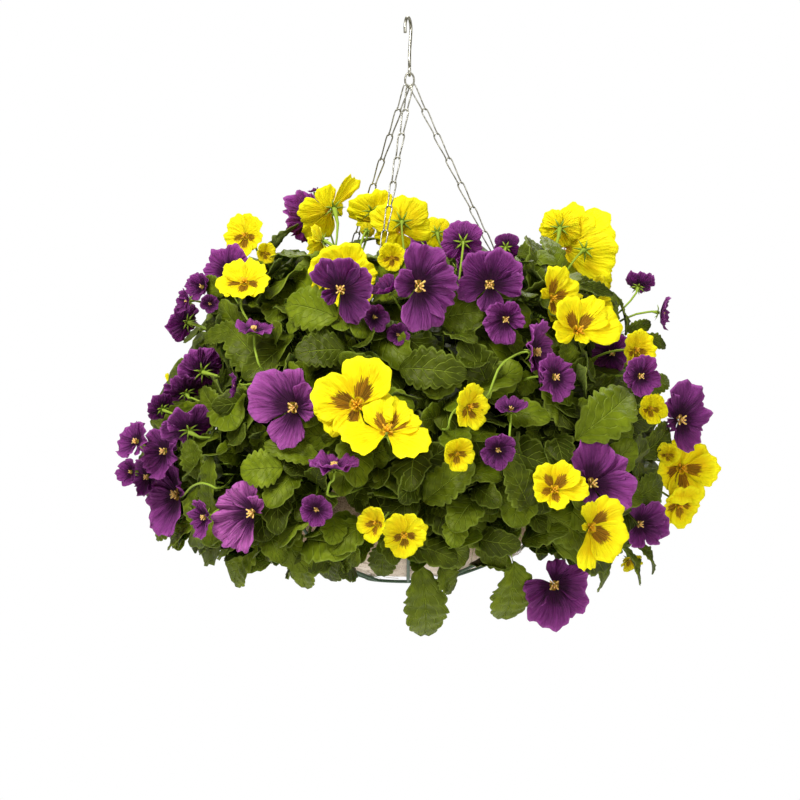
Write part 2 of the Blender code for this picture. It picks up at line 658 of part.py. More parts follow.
def bloom_shape(frame, size, colour):
    """A pansy bloom as one thin body: five petals in layers round a small flat throat."""
    radius = size * MM / 2
    throat = max(radius * THROAT, LEAST_THROAT)
    if size < SMALL_BLOOM:
        throat = radius * SMALL_THROAT
    large = size >= LARGE_BLOOM
    medium = size >= MEDIUM_BLOOM
    small = size < SMALL_BLOOM
    top = []
    petals = []
    notches = []
    for index, (first, last, reach, layer) in enumerate(PETALS):
        angle = math.radians((first + PETALS[index - 1][1] - (360 if index == 0 else 0)) / 2)
        notches.append(len(top))
        top.append(Vector((math.sin(angle) * throat, math.cos(angle) * throat, 0.0)))
    cup = (LARGE_CUP if large else SMALL_CUP) * radius
    for index, (first, last, reach, layer) in enumerate(PETALS):
        rise = layer * (LARGE_LAYER if large else SMALL_LAYER)
        middle = (first + last) / 2
        outline = []
        if large:
            places = ((first + 1, 0.55, 0.5), (first - 6, 0.93, 0.9),
                      (last + 6, 0.93, 0.9), (last - 1, 0.55, 0.5))
        elif medium:
            places = ((first + 3, 0.82, 0.9), (middle, 1.0, 0.75), (last - 3, 0.82, 1.0))
        elif small:
            places = ((middle, 1.0, 1.0),)
        else:
            places = ((first + 8, 0.94, 0.8), (last - 8, 0.94, 1.0))
        for angle, share, lift in places:
            angle = math.radians(angle)
            span = radius * reach * share
            height = cup * lift * share + rise * share
            outline.append(len(top))
            top.append(Vector((math.sin(angle) * span, math.cos(angle) * span, height)))
        following = notches[(index + 1) % 5]
        petals.append([notches[index]] + outline + [following])
    count = len(top)
    corners = top + [point - Vector((0, 0, PETAL_THICKNESS)) for point in top]
    faces = []
    rim = []
    for petal in petals:
        rim += petal[:-1]
        if large:
            first, low, high, far, near, last = petal
            faces += [(first, low, near), (first, near, last), (low, high, far), (low, far, near)]
            continue
        start = len(petal) // 2
        for step in range(1, len(petal) - 1):
            following = petal[(start + step) % len(petal)]
            faces.append((petal[start], following, petal[(start + step + 1) % len(petal)]))
    for step in range(1, 4):
        faces.append((notches[0], notches[step], notches[step + 1]))
    under = [tuple(corner + count for corner in face)[::-1] for face in faces]
    sides = []
    for index, corner in enumerate(rim):
        following = rim[(index + 1) % len(rim)]
        sides.append((corner, corner + count, following + count, following))
    placed = [frame @ point for point in corners]
    return Shape(placed, faces + under + sides, colour)


def leaf_shape(base, tip, width, outward, anchor, thickness, fine):
    """A leaf with a waved edge and folded midrib, on a petiole that starts at an anchor."""
    along = tip - base
    length = along.length
    along = along / length
    normal = (outward - along * outward.dot(along)).normalized()
    across = along.cross(normal)
    half = width / 2
    outline, ribs = (LEAF_OUTLINE, LEAF_RIB) if fine else (PLAIN_OUTLINE, PLAIN_RIB)

    def place(share, sideways, lift):
        arch = LEAF_ARCH * length * (0.25 - (share - 0.5) ** 2)
        return base + along * (share * length) + across * (sideways * half) + normal * (
            lift * length + arch)

    back = (base - anchor).normalized()
    foot_side = back.cross(normal).normalized() * PETIOLE_HALF_WIDTH
    top = [anchor - foot_side, anchor + foot_side]
    if fine:
        top += [base - across * PETIOLE_HALF_WIDTH, base + across * PETIOLE_HALF_WIDTH]
    foot = len(top)
    left = []
    right = []
    for share, wide, lift in outline:
        left.append(len(top))
        top.append(place(share, -wide, lift))
    for share, wide, lift in outline:
        right.append(len(top))
        top.append(place(share, wide, lift))
    rib = []
    for share, lift in ribs:
        rib.append(len(top))
        top.append(place(share, 0.0, lift))
    end = len(top)
    top.append(place(1.0, 0.0, 0.0))
    count = len(top)
    petiole = 2 * PETIOLE_HALF_WIDTH
    deep = [petiole] * foot + [thickness] * (count - foot)
    corners = top + [point - normal * drop for point, drop in zip(top, deep)]
    one, other = foot - 2, foot - 1
    faces = [
        (one, other, rib[0]), (one, rib[0], left[0]), (other, right[0], rib[0]),
        (left[0], rib[0], left[1]), (right[0], right[1], rib[0]),
    ]
    if fine:
        faces += [(0, 1, 3, 2), (left[1], rib[0], rib[1]), (right[1], rib[1], rib[0])]
    for step in range(1, len(outline) - 1):
        faces += [(left[step], rib[-1], left[step + 1]), (right[step], right[step + 1], rib[-1])]
    faces += [(left[-1], rib[-1], end), (right[-1], end, rib[-1])]
    under = [tuple(corner + count for corner in face)[::-1] for face in faces]
    rim = list(range(0, foot, 2)) + left + [end] + right[::-1] + list(range(foot - 1, 0, -2))
    sides = []
    for index, corner in enumerate(rim):
        following = rim[(index + 1) % len(rim)]
        sides.append((corner, corner + count, following + count, following))
    return Shape(corners, faces + under + sides)


class Planting:
    """What has been placed so far: a list of shapes for each node, and their trees."""

    def __init__(self):
        self.nodes = {}
        self.trees = {}

    def add(self, node, shape):
        self.nodes.setdefault(node, []).append(shape)
        self.trees.setdefault(node, []).append(shape.tree())

    def add_tree(self, node, tree):
        self.trees.setdefault(node, []).append(tree)

    def crossed(self, shape, own=()):
        """The first node, outside own, that a shape cuts through."""
        tree = shape.tree()
        for node, trees in self.trees.items():
            if node in own:
                continue
            for other in trees:
                if tree.overlap(other):
                    return node
        return None

    def rooted(self, node, shape):
        """Whether a shape cuts into the leafy mass of its plant."""
        return bool(shape.tree().overlap(self.trees[node][0]))

    def crossings(self, node, shape):
        """How many shapes of one node a shape cuts through."""
        tree = shape.tree()
        return sum(1 for other in self.trees[node] if tree.overlap(other))


def is_inside(tree, point):
    """Whether a point lies within a closed body, by counting the faces met three ways."""
    for way in ((0.03, 0.02, 1.0), (0.05, 1.0, -0.04), (1.0, -0.06, 0.05)):
        way = Vector(way).normalized()
        count = 0
        place = point
        while place is not None:
            place, _, _, _ = tree.ray_cast(place, way)
            if place is not None:
                count += 1
                place = place + way * 0.01 * MM
        if count % 2 == 0:
            return False
    return True


def root_inside(planting, index, spot):
    """A point just under a spot on a plant's leafy mass, or None where the mass is too thin."""
    tree = planting.trees[f"pansy_plant_{index + 1}"][0]
    middle = plant_azimuths()[index]
    azimuth = math.degrees(math.atan2(spot.y, spot.x))
    swing = (azimuth - middle + 180) % 360 - 180
    for share in (0.8, 0.5, 0.2):
        hearts = [polar(radius * MM, middle + swing * share, height * MM) for radius, height in MASS_HEARTS]
        for heart in sorted(hearts, key=lambda place: (place - spot).length):
            root = spot + (heart - spot).normalized() * ROOT_DEPTH
            if is_inside(tree, root):
                return root
    return None


def nearest_plant(planting, point, only=None):
    """The plant whose leafy mass lies nearest a point: its name, and a root just inside it."""
    best = None
    for index in range(PLANTS):
        name = f"pansy_plant_{index + 1}"
        if only and name != only:
            continue
        spot, _, _, distance = planting.trees[name][0].find_nearest(point)
        root = root_inside(planting, index, spot)
        if root is not None and (best is None or distance < best[0]):
            best = (distance, name, root)
    return (best[1], best[2]) if best else (None, None)


def pedicel_shape(frame, size, root, knee, full):
    """A flower stem from the back of a bloom to its root, swollen at the calyx."""
    radius = min(max(size * 0.055, 1.6), 3.4) * MM
    if full:
        start = frame @ Vector((0, 0, -PETAL_THICKNESS - GAP))
        points = [start, frame @ Vector((0, 0, -PETAL_THICKNESS - CALYX_LENGTH))]
        radii = [radius, PEDICEL_RADIUS]
    else:
        points = [frame @ Vector((0, 0, -PETAL_THICKNESS * 0.5))]
        radii = [radius * 0.8]
    if knee is not None:
        points.append(knee)
        radii.append(PEDICEL_RADIUS)
    points.append(root)
    radii.append(PEDICEL_RADIUS * 1.2)
    return Shape(*tube(points, radii, 3))


def grow_pedicel(planting, frame, size, plant=None):
    """Find a free way from a bloom's back to a plant, straight if it can be, and grow the stem."""
    axes = frame.to_3x3()
    fewest = None
    for reach in STEM_REACHES:
        for swing in STEM_SWINGS:
            for drop in STEM_DROPS:
                sideways = axes @ Vector((swing * MM, -drop * MM, 0))
                bend = frame @ Vector((0, 0, -reach * MM)) + sideways
                node, root = nearest_plant(planting, bend, plant)
                if node is None:
                    continue
                for knee in ((None, bend) if not (swing or drop) else (bend,)):
                    shape = pedicel_shape(frame, size, root, knee, plant is None)
                    if planting.crossed(shape, (node,)) or not planting.rooted(node, shape):
                        continue
                    count = planting.crossings(node, shape)
                    if fewest is None or count < fewest[0]:
                        fewest = (count, node, shape)
        if fewest and fewest[0] <= (1 if plant is None else 2):
            break
    if fewest:
        planting.add(fewest[1], fewest[2])
    return fewest is not None


def front_frame(row, shift):
    """Where a bloom of the front tables stands, drawn back by a shift."""
    across, height, set_back, turn, lift, roll, size = row
    centre = seen_point(across, height, front_depth(across, height) + set_back + shift)
    return upright_frame(centre, facing(turn, lift), roll)


def back_places(rows, draw):
    """Places in rows behind the basket: point, outward direction."""
    places = []
    for height, count, first, last in rows:
        for index in range(count):
            share = 0.5 if count == 1 else index / (count - 1)
            azimuth = first + (last - first) * share + draw.uniform(-5, 5)
            level = height + draw.uniform(-8, 8)
            radius = table_value(MOUND_OUTLINE, level) - 8
            point = polar(radius * MM, azimuth, level * MM)
            outward = polar(1.0, azimuth + draw.uniform(-25, 25), draw.uniform(-0.1, 0.6))
            places.append((point, outward.normalized()))
    return places


def bloom_rows():
    """Every bloom: its name, colour, size, and its frame for each depth it may stand at."""
    rows = []
    for colour, word, table in ((YELLOW, "yellow", YELLOW_BLOOMS), (PURPLE, "purple", PURPLE_BLOOMS)):
        for number, row in enumerate(table, 1):
            frames = [front_frame(row, shift) for shift in DEPTH_SHIFTS]
            rows.append((f"{word}_bloom_{number:02d}", colour, row[-1], frames))
    draw = random.Random(7)
    for large, table, sizes in (
        (True, BACK_LARGE_ROWS, BACK_LARGE_SIZES), (False, BACK_SMALL_ROWS, BACK_SMALL_SIZES),
    ):
        for number, (point, outward) in enumerate(back_places(table, draw), 1):
            colour = YELLOW if number % 3 == 2 else PURPLE
            word = "yellow" if colour == YELLOW else "purple"
            turn = draw.uniform(-30, 30)
            frames = [upright_frame(point - outward * shift * MM, outward, turn) for shift in DEPTH_SHIFTS]
            size = sizes[number % len(sizes)]
            rows.append((f"{word}_bloom_{'back' if large else 'small'}_{number:02d}", colour, size, frames))
    return sorted(rows, key=lambda row: row[2] < MEDIUM_BLOOM)


def place_blooms(planting):
    """Large blooms are bodies of their own; a small one is one body with its plant and stem."""
    placed = []
    for name, colour, size, frames in bloom_rows():
        own = size >= MEDIUM_BLOOM
        for frame in frames:
            shape = bloom_shape(frame, size, colour)
            if not planting.crossed(shape):
                break
        else:
            print("no free place for", name)
            continue
        plant = None
        if not own:
            plant, _ = nearest_plant(planting, frame @ Vector((0, 0, -34 * MM)))
        planting.add(name if own else plant, shape)
        placed.append((name, frame, size, plant))
    for name, frame, size, plant in placed:
        if not grow_pedicel(planting, frame, size, plant):
            print("no free way for the stem of", name)


def crosses_itself(shape):
    """Whether two faces that share no corner cut each other."""
    tree = shape.tree()
    for first, second in tree.overlap(tree):
        if not set(shape.faces[first]) & set(shape.faces[second]):
            return True
    return False


def grow_leaf(planting, base, tip, width, outward, alone, fine):
    """Grow a leaf if it clears the other nodes, and its own if alone; say whether it did."""
    plant, anchor = nearest_plant(planting, base)
    test = leaf_shape(base, tip, width, outward, anchor, LEAF_THICKNESS + 2 * LEAF_CLEARANCE, fine)
    lifted = Shape([point + outward * LEAF_CLEARANCE for point in test.points], test.faces)
    if planting.crossed(lifted, (plant,)) or planting.crossed(test, (plant,)):
        return False
    if crosses_itself(test) or not planting.rooted(plant, test):
        return False
    if alone and planting.crossings(plant, test) > 1:
        return False
    planting.add(plant, leaf_shape(base, tip, width, outward, anchor, LEAF_THICKNESS, fine))
    return True


def grow_front_leaf(planting, row):
    """Grow one leaf of the front table, nearer or farther until it is clear."""
    base_across, base_height, tip_across, tip_height, width, base_back, tip_back = row
    for alone, share, fine in LEAF_TRIES:
        for shift in DEPTH_SHIFTS:
            base_depth = front_depth(base_across, base_height) + base_back + shift
            tip_depth = front_depth(tip_across, tip_height) + tip_back + shift
            base = seen_point(base_across, base_height, base_depth)
            tip = seen_point(tip_across, tip_height, tip_depth)
            tip = base + (tip - base) * share
            outward = Vector((base.x * 0.6, base.y, 0.25 * abs(base.y) + 0.02)).normalized()
            if grow_leaf(planting, base, tip, width * share * MM, outward, alone, fine):
                return True
    return False


def place_leaves(planting):
    """The leaves that show in front, then rows of leaves all round."""
    for row in FRONT_LEAVES:
        if not grow_front_leaf(planting, row):
            print("no free place for the leaf at", row[:2])
    draw = random.Random(11)
    for index in range(PLANTS):
        middle = plant_azimuths()[index]
        for height, count in LEAF_ROWS:
            for number in range(count):
                share = (number + 0.5) / count - 0.5
                for attempt in range(LEAF_ATTEMPTS):
                    azimuth = middle + LEAF_SPREAD * share + draw.uniform(-9, 9)
                    level = height + draw.uniform(-16, 16)
                    reach = table_value(MOUND_OUTLINE, level) - LEAF_BASE_DEPTH
                    base = polar(reach * MM, azimuth, level * MM)
                    fall = draw.uniform(-0.9, 0.2) - (0.8 if height < LOW_LEAVES else 0.0)
                    along = polar(1.0, azimuth + draw.uniform(-50, 50), fall).normalized()
                    tip = base + along * (LEAF_LENGTH * draw.uniform(0.85, 1.1))
                    width = LEAF_WIDTH * draw.uniform(0.85, 1.05)
                    outward = polar(1.0, azimuth, 1.2).normalized()
                    if grow_leaf(planting, base, tip, width, outward, True, False):
                        break


def main():
    clear_scene()
    steel = finish("galvanised wire", (0.62, 0.62, 0.58), 0.35, 1.0)
    green_wire = finish("dark green wire", (0.03, 0.07, 0.03), 0.5)
    coir = finish("coir", (0.22, 0.11, 0.05), 0.95)
    earth = finish("potting soil", (0.05, 0.035, 0.025), 1.0)
    leaf = finish("pansy leaf", (0.09, 0.20, 0.02), 0.45)
    purple = finish("purple petal", (0.16, 0.02, 0.22), 0.6)
    yellow = finish("yellow petal", (0.90, 0.70, 0.01), 0.6)

    made = [make_hook(steel), make_gather_ring(steel)]
    made += [make_chain(index, steel) for index in range(3)]
    made += [make_basket_frame(green_wire), make_liner(coir), make_soil(earth)]
    planting = Planting()
    for obj in made:
        corners = [vertex.co.copy() for vertex in obj.data.vertices]
        faces = [tuple(face.vertices) for face in obj.data.polygons]
        planting.add_tree(obj.name, BVHTree.FromPolygons(corners, faces))
    for index in range(PLANTS):
        name = f"pansy_plant_{index + 1}"
        planting.add(name, leafy_mass(index))
        planting.add(name, plant_stem(index))
    place_blooms(planting)
    place_leaves(planting)
    for name, shapes in planting.nodes.items():
        fuse(name, shapes, [leaf, purple, yellow])


main()
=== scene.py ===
# %% [markdown]
# # A pansy hanging basket
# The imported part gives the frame: where the hook, the chains, the wire basket and every large bloom are.
# This lesson dresses that frame. It bends round wire for the metal, mats a liner of coir, and grows
# leaves, flower stems and pansies over six plants, each in the place that its solid holds.

import math
import random

import bmesh
import bpy
import numpy as np
from mathutils import Matrix, Vector, noise
from mathutils.bvhtree import BVHTree


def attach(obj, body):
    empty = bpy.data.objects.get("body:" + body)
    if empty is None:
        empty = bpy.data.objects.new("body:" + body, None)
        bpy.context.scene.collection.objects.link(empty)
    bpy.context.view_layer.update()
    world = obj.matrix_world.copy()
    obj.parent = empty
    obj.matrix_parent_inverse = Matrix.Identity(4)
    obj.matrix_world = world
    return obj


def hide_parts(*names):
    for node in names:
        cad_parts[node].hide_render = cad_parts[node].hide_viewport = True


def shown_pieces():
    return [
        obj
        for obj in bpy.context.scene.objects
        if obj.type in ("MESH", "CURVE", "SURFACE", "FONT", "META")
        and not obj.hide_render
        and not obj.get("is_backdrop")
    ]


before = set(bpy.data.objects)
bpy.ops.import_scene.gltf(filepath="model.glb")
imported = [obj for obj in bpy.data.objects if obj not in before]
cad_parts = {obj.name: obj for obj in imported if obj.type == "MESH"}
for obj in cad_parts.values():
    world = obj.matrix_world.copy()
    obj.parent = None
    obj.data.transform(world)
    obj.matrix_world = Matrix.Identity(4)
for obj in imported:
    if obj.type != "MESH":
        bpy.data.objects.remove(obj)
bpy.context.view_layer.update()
MM = 0.001
print("nodes in the part:", len(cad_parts))

# %% [markdown]
# ## The camera
# The photographer stands three metres away, a little above the middle of the mound, with a long lens, so
# one pixel is one millimetre at the hook. The camera comes first because every later look depends on it.

# %% Place the camera
VIEW_POINT = Vector((-0.008, -2.998, -0.275))
VIEW_TARGET = Vector((-0.008, 0.0, -0.38))
LENS = 135

bpy.ops.object.camera_add(location=VIEW_POINT)
camera = bpy.context.object
camera.rotation_euler = (VIEW_TARGET - VIEW_POINT).to_track_quat("-Z", "Y").to_euler()
camera.data.lens = LENS
bpy.context.scene.camera = camera
print("camera distance, m:", round((VIEW_TARGET - VIEW_POINT).length, 3))

# %% [markdown]
# ## A floor and soft light
# The photo has a plain white ground and light from all round, stronger from above and in front. A white
# floor far below and three large lamps give that. The world lights the plants in a warm white, with soft
# shade between the leaves, but the camera sees pure white in its place.

# %% Make the floor, the world and the lamps
FLOOR_HEIGHT = -1.35
FLOOR_SIZE = 6
FLOOR_WHITE = (0.93, 0.93, 0.93, 1.0)
FLOOR_ROUGHNESS = 0.9
# Each lamp: its name, place, width in metres and power in watts
LAMPS = (
    ("key lamp", (-1.2, -2.0, 1.7), 1.3, 116),
    ("fill lamp", (1.9, -2.6, 0.3), 1.8, 34),
    ("back lamp", (0.5, 1.9, 1.7), 1.6, 40),
)
LAMP_TARGET = Vector((0, 0, -0.4))
SHADE_STRENGTH = 0.42
WARM_WHITE = (1.0, 0.97, 0.84, 1.0)
PURE_WHITE = (1.0, 1.0, 1.0, 1.0)

bpy.ops.mesh.primitive_plane_add(size=FLOOR_SIZE, location=(0, 0, FLOOR_HEIGHT))
floor = bpy.context.object
floor.name = "floor"
white = bpy.data.materials.new("white floor")
white.use_nodes = True
matt = white.node_tree.nodes["Principled BSDF"]
matt.inputs["Base Color"].default_value = FLOOR_WHITE
matt.inputs["Roughness"].default_value = FLOOR_ROUGHNESS
floor.data.materials.append(white)
floor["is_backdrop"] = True
world = bpy.data.worlds.new("white room")
world.use_nodes = True
nodes = world.node_tree.nodes
links = world.node_tree.links
shade = nodes["Background"]
shade.inputs["Color"].default_value = WARM_WHITE
shade.inputs["Strength"].default_value = SHADE_STRENGTH
backdrop = nodes.new("ShaderNodeBackground")
backdrop.inputs["Color"].default_value = PURE_WHITE
rays = nodes.new("ShaderNodeLightPath")
either = nodes.new("ShaderNodeMixShader")
links.new(rays.outputs["Is Camera Ray"], either.inputs[0])
links.new(shade.outputs[0], either.inputs[1])
links.new(backdrop.outputs[0], either.inputs[2])
links.new(either.outputs[0], nodes["World Output"].inputs[0])
bpy.context.scene.world = world
bpy.context.scene.view_settings.view_transform = "Standard"
for lamp_name, place, width, power in LAMPS:
    bpy.ops.object.light_add(type="AREA", location=place)
    lamp = bpy.context.object
    lamp.name = lamp_name
    lamp.data.size = width
    lamp.data.energy = power
    lamp.rotation_euler = (LAMP_TARGET - Vector(place)).to_track_quat("-Z", "Y").to_euler()
print("lamps:", len(LAMPS))

# %% [markdown]
# ## Small helpers for modelling
# Operators act on all that is selected, so each helper starts by deselecting everything. `add` places a
# primitive, `edit` opens a piece and selects all of it, `pick` selects by place, and `apply` adds a
# modifier and applies it at once. `note` and `noted` write and read numbers at a piece's corners.

# %% Helpers for pieces
def add(kind, name, **settings):
    """A new mesh primitive, the only thing selected."""
    bpy.ops.object.select_all(action="DESELECT")
    getattr(bpy.ops.mesh, f"primitive_{kind}_add")(**settings)
    bpy.context.object.name = name
    return bpy.context.object


def choose(piece):
    """Make one piece active and selected, and nothing else."""
    bpy.ops.object.select_all(action="DESELECT")
    piece.select_set(True)
    bpy.context.view_layer.objects.active = piece


def edit(piece):
    """Open a piece in edit mode, with all of it selected."""
    choose(piece)
    bpy.ops.object.mode_set(mode="EDIT")
    bpy.ops.mesh.select_all(action="SELECT")


def close_edit():
    """Back to object mode."""
    bpy.ops.object.mode_set(mode="OBJECT")


def pick(test):
    """In edit mode, select the corners that pass a test, and nothing else."""
    bpy.ops.mesh.select_all(action="DESELECT")
    shape = bmesh.from_edit_mesh(bpy.context.object.data)
    shape.verts.ensure_lookup_table()
    for corner in shape.verts:
        corner.select = bool(test(corner))
    shape.select_flush_mode()
    bmesh.update_edit_mesh(bpy.context.object.data)


def apply(piece, kind, **settings):
    """Add a modifier and apply it."""
    choose(piece)
    modifier = piece.modifiers.new("change", kind)
    for key, value in settings.items():
        setattr(modifier, key, value)
    bpy.ops.object.modifier_apply(modifier=modifier.name)


def new_piece(name, places, edges, faces):
    """A piece made straight from corners, edges and faces."""
    mesh = bpy.data.meshes.new(name)
    mesh.from_pydata(places, edges, faces)
    piece = bpy.data.objects.new(name, mesh)
    bpy.context.scene.collection.objects.link(piece)
    return piece


def copy_of(pattern):
    """A copy with a mesh of its own."""
    made = pattern.copy()
    made.data = pattern.data.copy()
    bpy.context.scene.collection.objects.link(made)
    return made


def join(name, pieces):
    """One piece out of several."""
    bpy.ops.object.select_all(action="DESELECT")
    for piece in pieces:
        piece.select_set(True)
    bpy.context.view_layer.objects.active = pieces[0]
    if len(pieces) > 1:
        bpy.ops.object.join()
    pieces[0].name = name
    return pieces[0]


def read_rows(rows, field, width):
    """One row of numbers for each corner."""
    values = np.empty(len(rows) * width, np.float32)
    rows.foreach_get(field, values)
    return values.reshape(-1, width).astype(float)


def corners(piece):
    """A piece's corners as an array."""
    return read_rows(piece.data.vertices, "co", 3)


def move_corners(piece, places):
    """Put a piece's corners at new places."""
    piece.data.vertices.foreach_set("co", np.asarray(places, np.float32).ravel())
    piece.data.update()


def note(piece, name, values):
    """Write a number or a vector at each corner, for the finish to read."""
    wide = np.ndim(values) > 1
    kind, field = ("FLOAT_VECTOR", "vector") if wide else ("FLOAT", "value")
    layer = piece.data.attributes.get(name) or piece.data.attributes.new(name, kind, "POINT")
    layer.data.foreach_set(field, np.asarray(values, np.float32).ravel())


def noted(piece, name):
    """Read back the vectors that were written at each corner."""
    return read_rows(piece.data.attributes[name].data, "vector", 3)


def noted_number(piece, name):
    """Read back the whole number that was written at each corner."""
    return read_rows(piece.data.attributes[name].data, "value", 1)[:, 0].astype(int)


def complete(piece, finish, slot, *replaced):
    """Put a piece at the origin, give it its finish and smooth faces, hang it on the root body, and hide the
    nodes it replaces.
    """
    choose(piece)
    bpy.ops.object.transform_apply(location=True, rotation=True, scale=True)
    piece.data.materials.clear()
    piece.data.materials.append(finish)
    bpy.ops.object.shade_smooth()
    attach(piece, "root")
    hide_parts(*replaced)


# %% [markdown]
# ## Writing finishes as sums
# Blender's shader maths is a tree of nodes. This class wraps a socket, so that Python's own operators add
# the Math nodes, and a finish can be read like a formula.

# %% Helpers for finishes
class Value:
    """A number that changes over the surface."""

    def __init__(self, paint, socket):
        self.paint = paint
        self.socket = socket

    def maths(self, operation, *others):
        """A Math node on this number."""
        node = self.paint.node("ShaderNodeMath", {"operation": operation}, self, *others)
        return Value(self.paint, node.outputs[0])

    def __add__(self, other):
        return self.maths("ADD", other)

    __radd__ = __add__

    def __mul__(self, other):
        return self.maths("MULTIPLY", other)

    __rmul__ = __mul__

    def __sub__(self, other):
        return self.maths("SUBTRACT", other)

    def __rsub__(self, other):
        return (self * -1) + other

    def size(self):
        """The number without its sign."""
        return self.maths("ABSOLUTE")

    def part(self):
        """What is past the whole number."""
        return self.maths("FRACT")

    def between(self, low, high):
        """0 at low and below, 1 at high and above, smooth between."""
        settings = {"interpolation_type": "SMOOTHSTEP"}
        node = self.paint.node("ShaderNodeMapRange", settings, self, low, high, 0.0, 1.0)
        return Value(self.paint, node.outputs[0])


class Paint:
    """A finish in the making: one Principled surface and the nodes that feed it."""

    def __init__(self, name, sockets=()):
        self.material = bpy.data.materials.new(name)
        self.material.use_nodes = True
        self.tree = self.material.node_tree
        self.shader = self.tree.nodes["Principled BSDF"]
        for key, value in dict(sockets).items():
            self.shader.inputs[key].default_value = value

    def node(self, kind, settings, *inputs, **named):
        """A new node with its settings, and with values or other nodes on its inputs."""
        made = self.tree.nodes.new(kind)
        for key, value in settings.items():
            setattr(made, key, value)
        for key, value in [*enumerate(inputs), *named.items()]:
            socket = made.inputs[key]
            value = getattr(value, "socket", value)
            if isinstance(value, bpy.types.NodeSocket):
                self.tree.links.new(value, socket)
            else:
                socket.default_value = value
        return made

    def feed(self, name, value):
        """Let a value drive one socket of the surface."""
        self.tree.links.new(getattr(value, "socket", value), self.shader.inputs[name])

    def read(self, name):
        """The three numbers written at each corner under a name."""
        source = self.node("ShaderNodeAttribute", {"attribute_name": name})
        split = self.node("ShaderNodeSeparateXYZ", {}, source.outputs["Vector"])
        return [Value(self, output) for output in split.outputs]

    def read_one(self, name):
        """The one number written at each corner under a name."""
        source = self.node("ShaderNodeAttribute", {"attribute_name": name})
        return Value(self, source.outputs["Fac"])

    def place(self):
        """Where a point is on the object, in metres."""
        return self.node("ShaderNodeTexCoord", {}).outputs["Object"]

    def grain(self, scale, detail=2.0, where=None):
        """Noise from 0 to 1."""
        made = self.node("ShaderNodeTexNoise", {}, Vector=where or self.place(), Scale=scale, Detail=detail)
        return Value(self, made.outputs[0])

    def blend(self, amount, first, second):
        """A colour between two colours."""
        made = self.node("ShaderNodeMix", {"data_type": "RGBA"})
        for key, value in ((0, amount), (6, first), (7, second)):
            value = getattr(value, "socket", value)
            if isinstance(value, bpy.types.NodeSocket):
                self.tree.links.new(value, made.inputs[key])
            else:
                made.inputs[key].default_value = (*value, 1.0) if key else value
        return made.outputs[2]

    def bumps(self, height, depth):
        """Relief from a height in metres times depth."""
        made = self.node("ShaderNodeBump", {}, Strength=1.0, Distance=depth, Height=height)
        self.feed("Normal", made.outputs[0])


# %% [markdown]
# ## Bright galvanised wire
# The hook, the ring and the chains are drawn wire with a thin zinc coat: pale grey, fairly shiny, with
# faint cloudy patches. Noise at two scales varies the roughness and the tone.

# %% Finish: galvanised wire
def galvanised():
    paint = Paint("galvanised wire", {"Metallic": 1.0})
    cloud = paint.grain(220, 3)
    fine = paint.grain(1400, 2)
    paint.feed("Base Color", paint.blend(cloud.between(0.35, 0.7), (0.26, 0.25, 0.20), (0.66, 0.65, 0.58)))
    paint.feed("Roughness", 0.16 + 0.2 * cloud + 0.1 * fine)
    paint.bumps(fine, 0.0001)
    return paint.material


zinc = galvanised()
print("finish:", zinc.name)

# %% [markdown]
# ## The hook and the gather ring
# The hook is one bent wire: an open crown, a straight shank, and an eye closed at the foot. The oval ring
# hangs in the eye and carries the chains. A path drawn through the bends and given a round section is how
# wire is formed, so a NURBS path is converted to a mesh.

# %% Bend the hook and the ring
HOOK_WIRE = 3.2 * MM
HOOK_RADIUS = 11.0 * MM
HOOK_LEAN = math.radians(14.0)
EYE_OFFSET = 1.5 * MM
EYE_HEIGHT = -52.0 * MM
EYE_RADIUS = 4.6 * MM
RING_WIRE = 2.0 * MM
RING_HALF_WIDTH = 4.5 * MM
RING_HALF_HEIGHT = 7.5 * MM
GAP = 0.35 * MM
# Where the path turns, in degrees: round the crown, and round the eye
CROWN_TURNS = range(-20, 181, 20)
EYE_TURNS = range(90, -221, -31)
# Two points of the shank over the eye: set back from it, and above its top
SHANK = ((3.0 * MM, 14.0 * MM), (0.0, 7.0 * MM))
WELD = 0.001 * MM


def bend_wire(name, points, radius, closed=False, smooth=4, sides=2):
    """A round wire along points, with its ends capped and rounded."""
    bpy.ops.object.select_all(action="DESELECT")
    bpy.ops.curve.primitive_nurbs_path_add()
    wire = bpy.context.object
    wire.name = name
    curve = wire.data
    curve.splines.clear()
    line = curve.splines.new("NURBS")
    line.points.add(len(points) - 1)
    for spot, point in zip(line.points, points):
        spot.co = (*point, 1.0)
    line.order_u = 3
    line.use_cyclic_u = closed
    line.use_endpoint_u = not closed
    line.resolution_u = smooth
    curve.resolution_u = smooth
    curve.bevel_depth = radius
    curve.bevel_resolution = sides
    curve.use_fill_caps = not closed
    bpy.ops.object.convert(target="MESH")
    wire = bpy.context.object
    edit(wire)
    bpy.ops.mesh.remove_doubles(threshold=WELD)
    bpy.ops.mesh.normals_make_consistent(inside=False)
    close_edit()
    return wire


def ring_point(seat):
    """A point on the gather ring's wire, in degrees from its lowest point."""
    angle = math.radians(seat)
    top = EYE_HEIGHT - EYE_RADIUS + HOOK_WIRE / 2 + RING_WIRE / 2 + GAP
    height = top - RING_HALF_HEIGHT - RING_HALF_HEIGHT * math.cos(angle)
    return Vector((EYE_OFFSET + RING_HALF_WIDTH * math.sin(angle), 0.0, height))


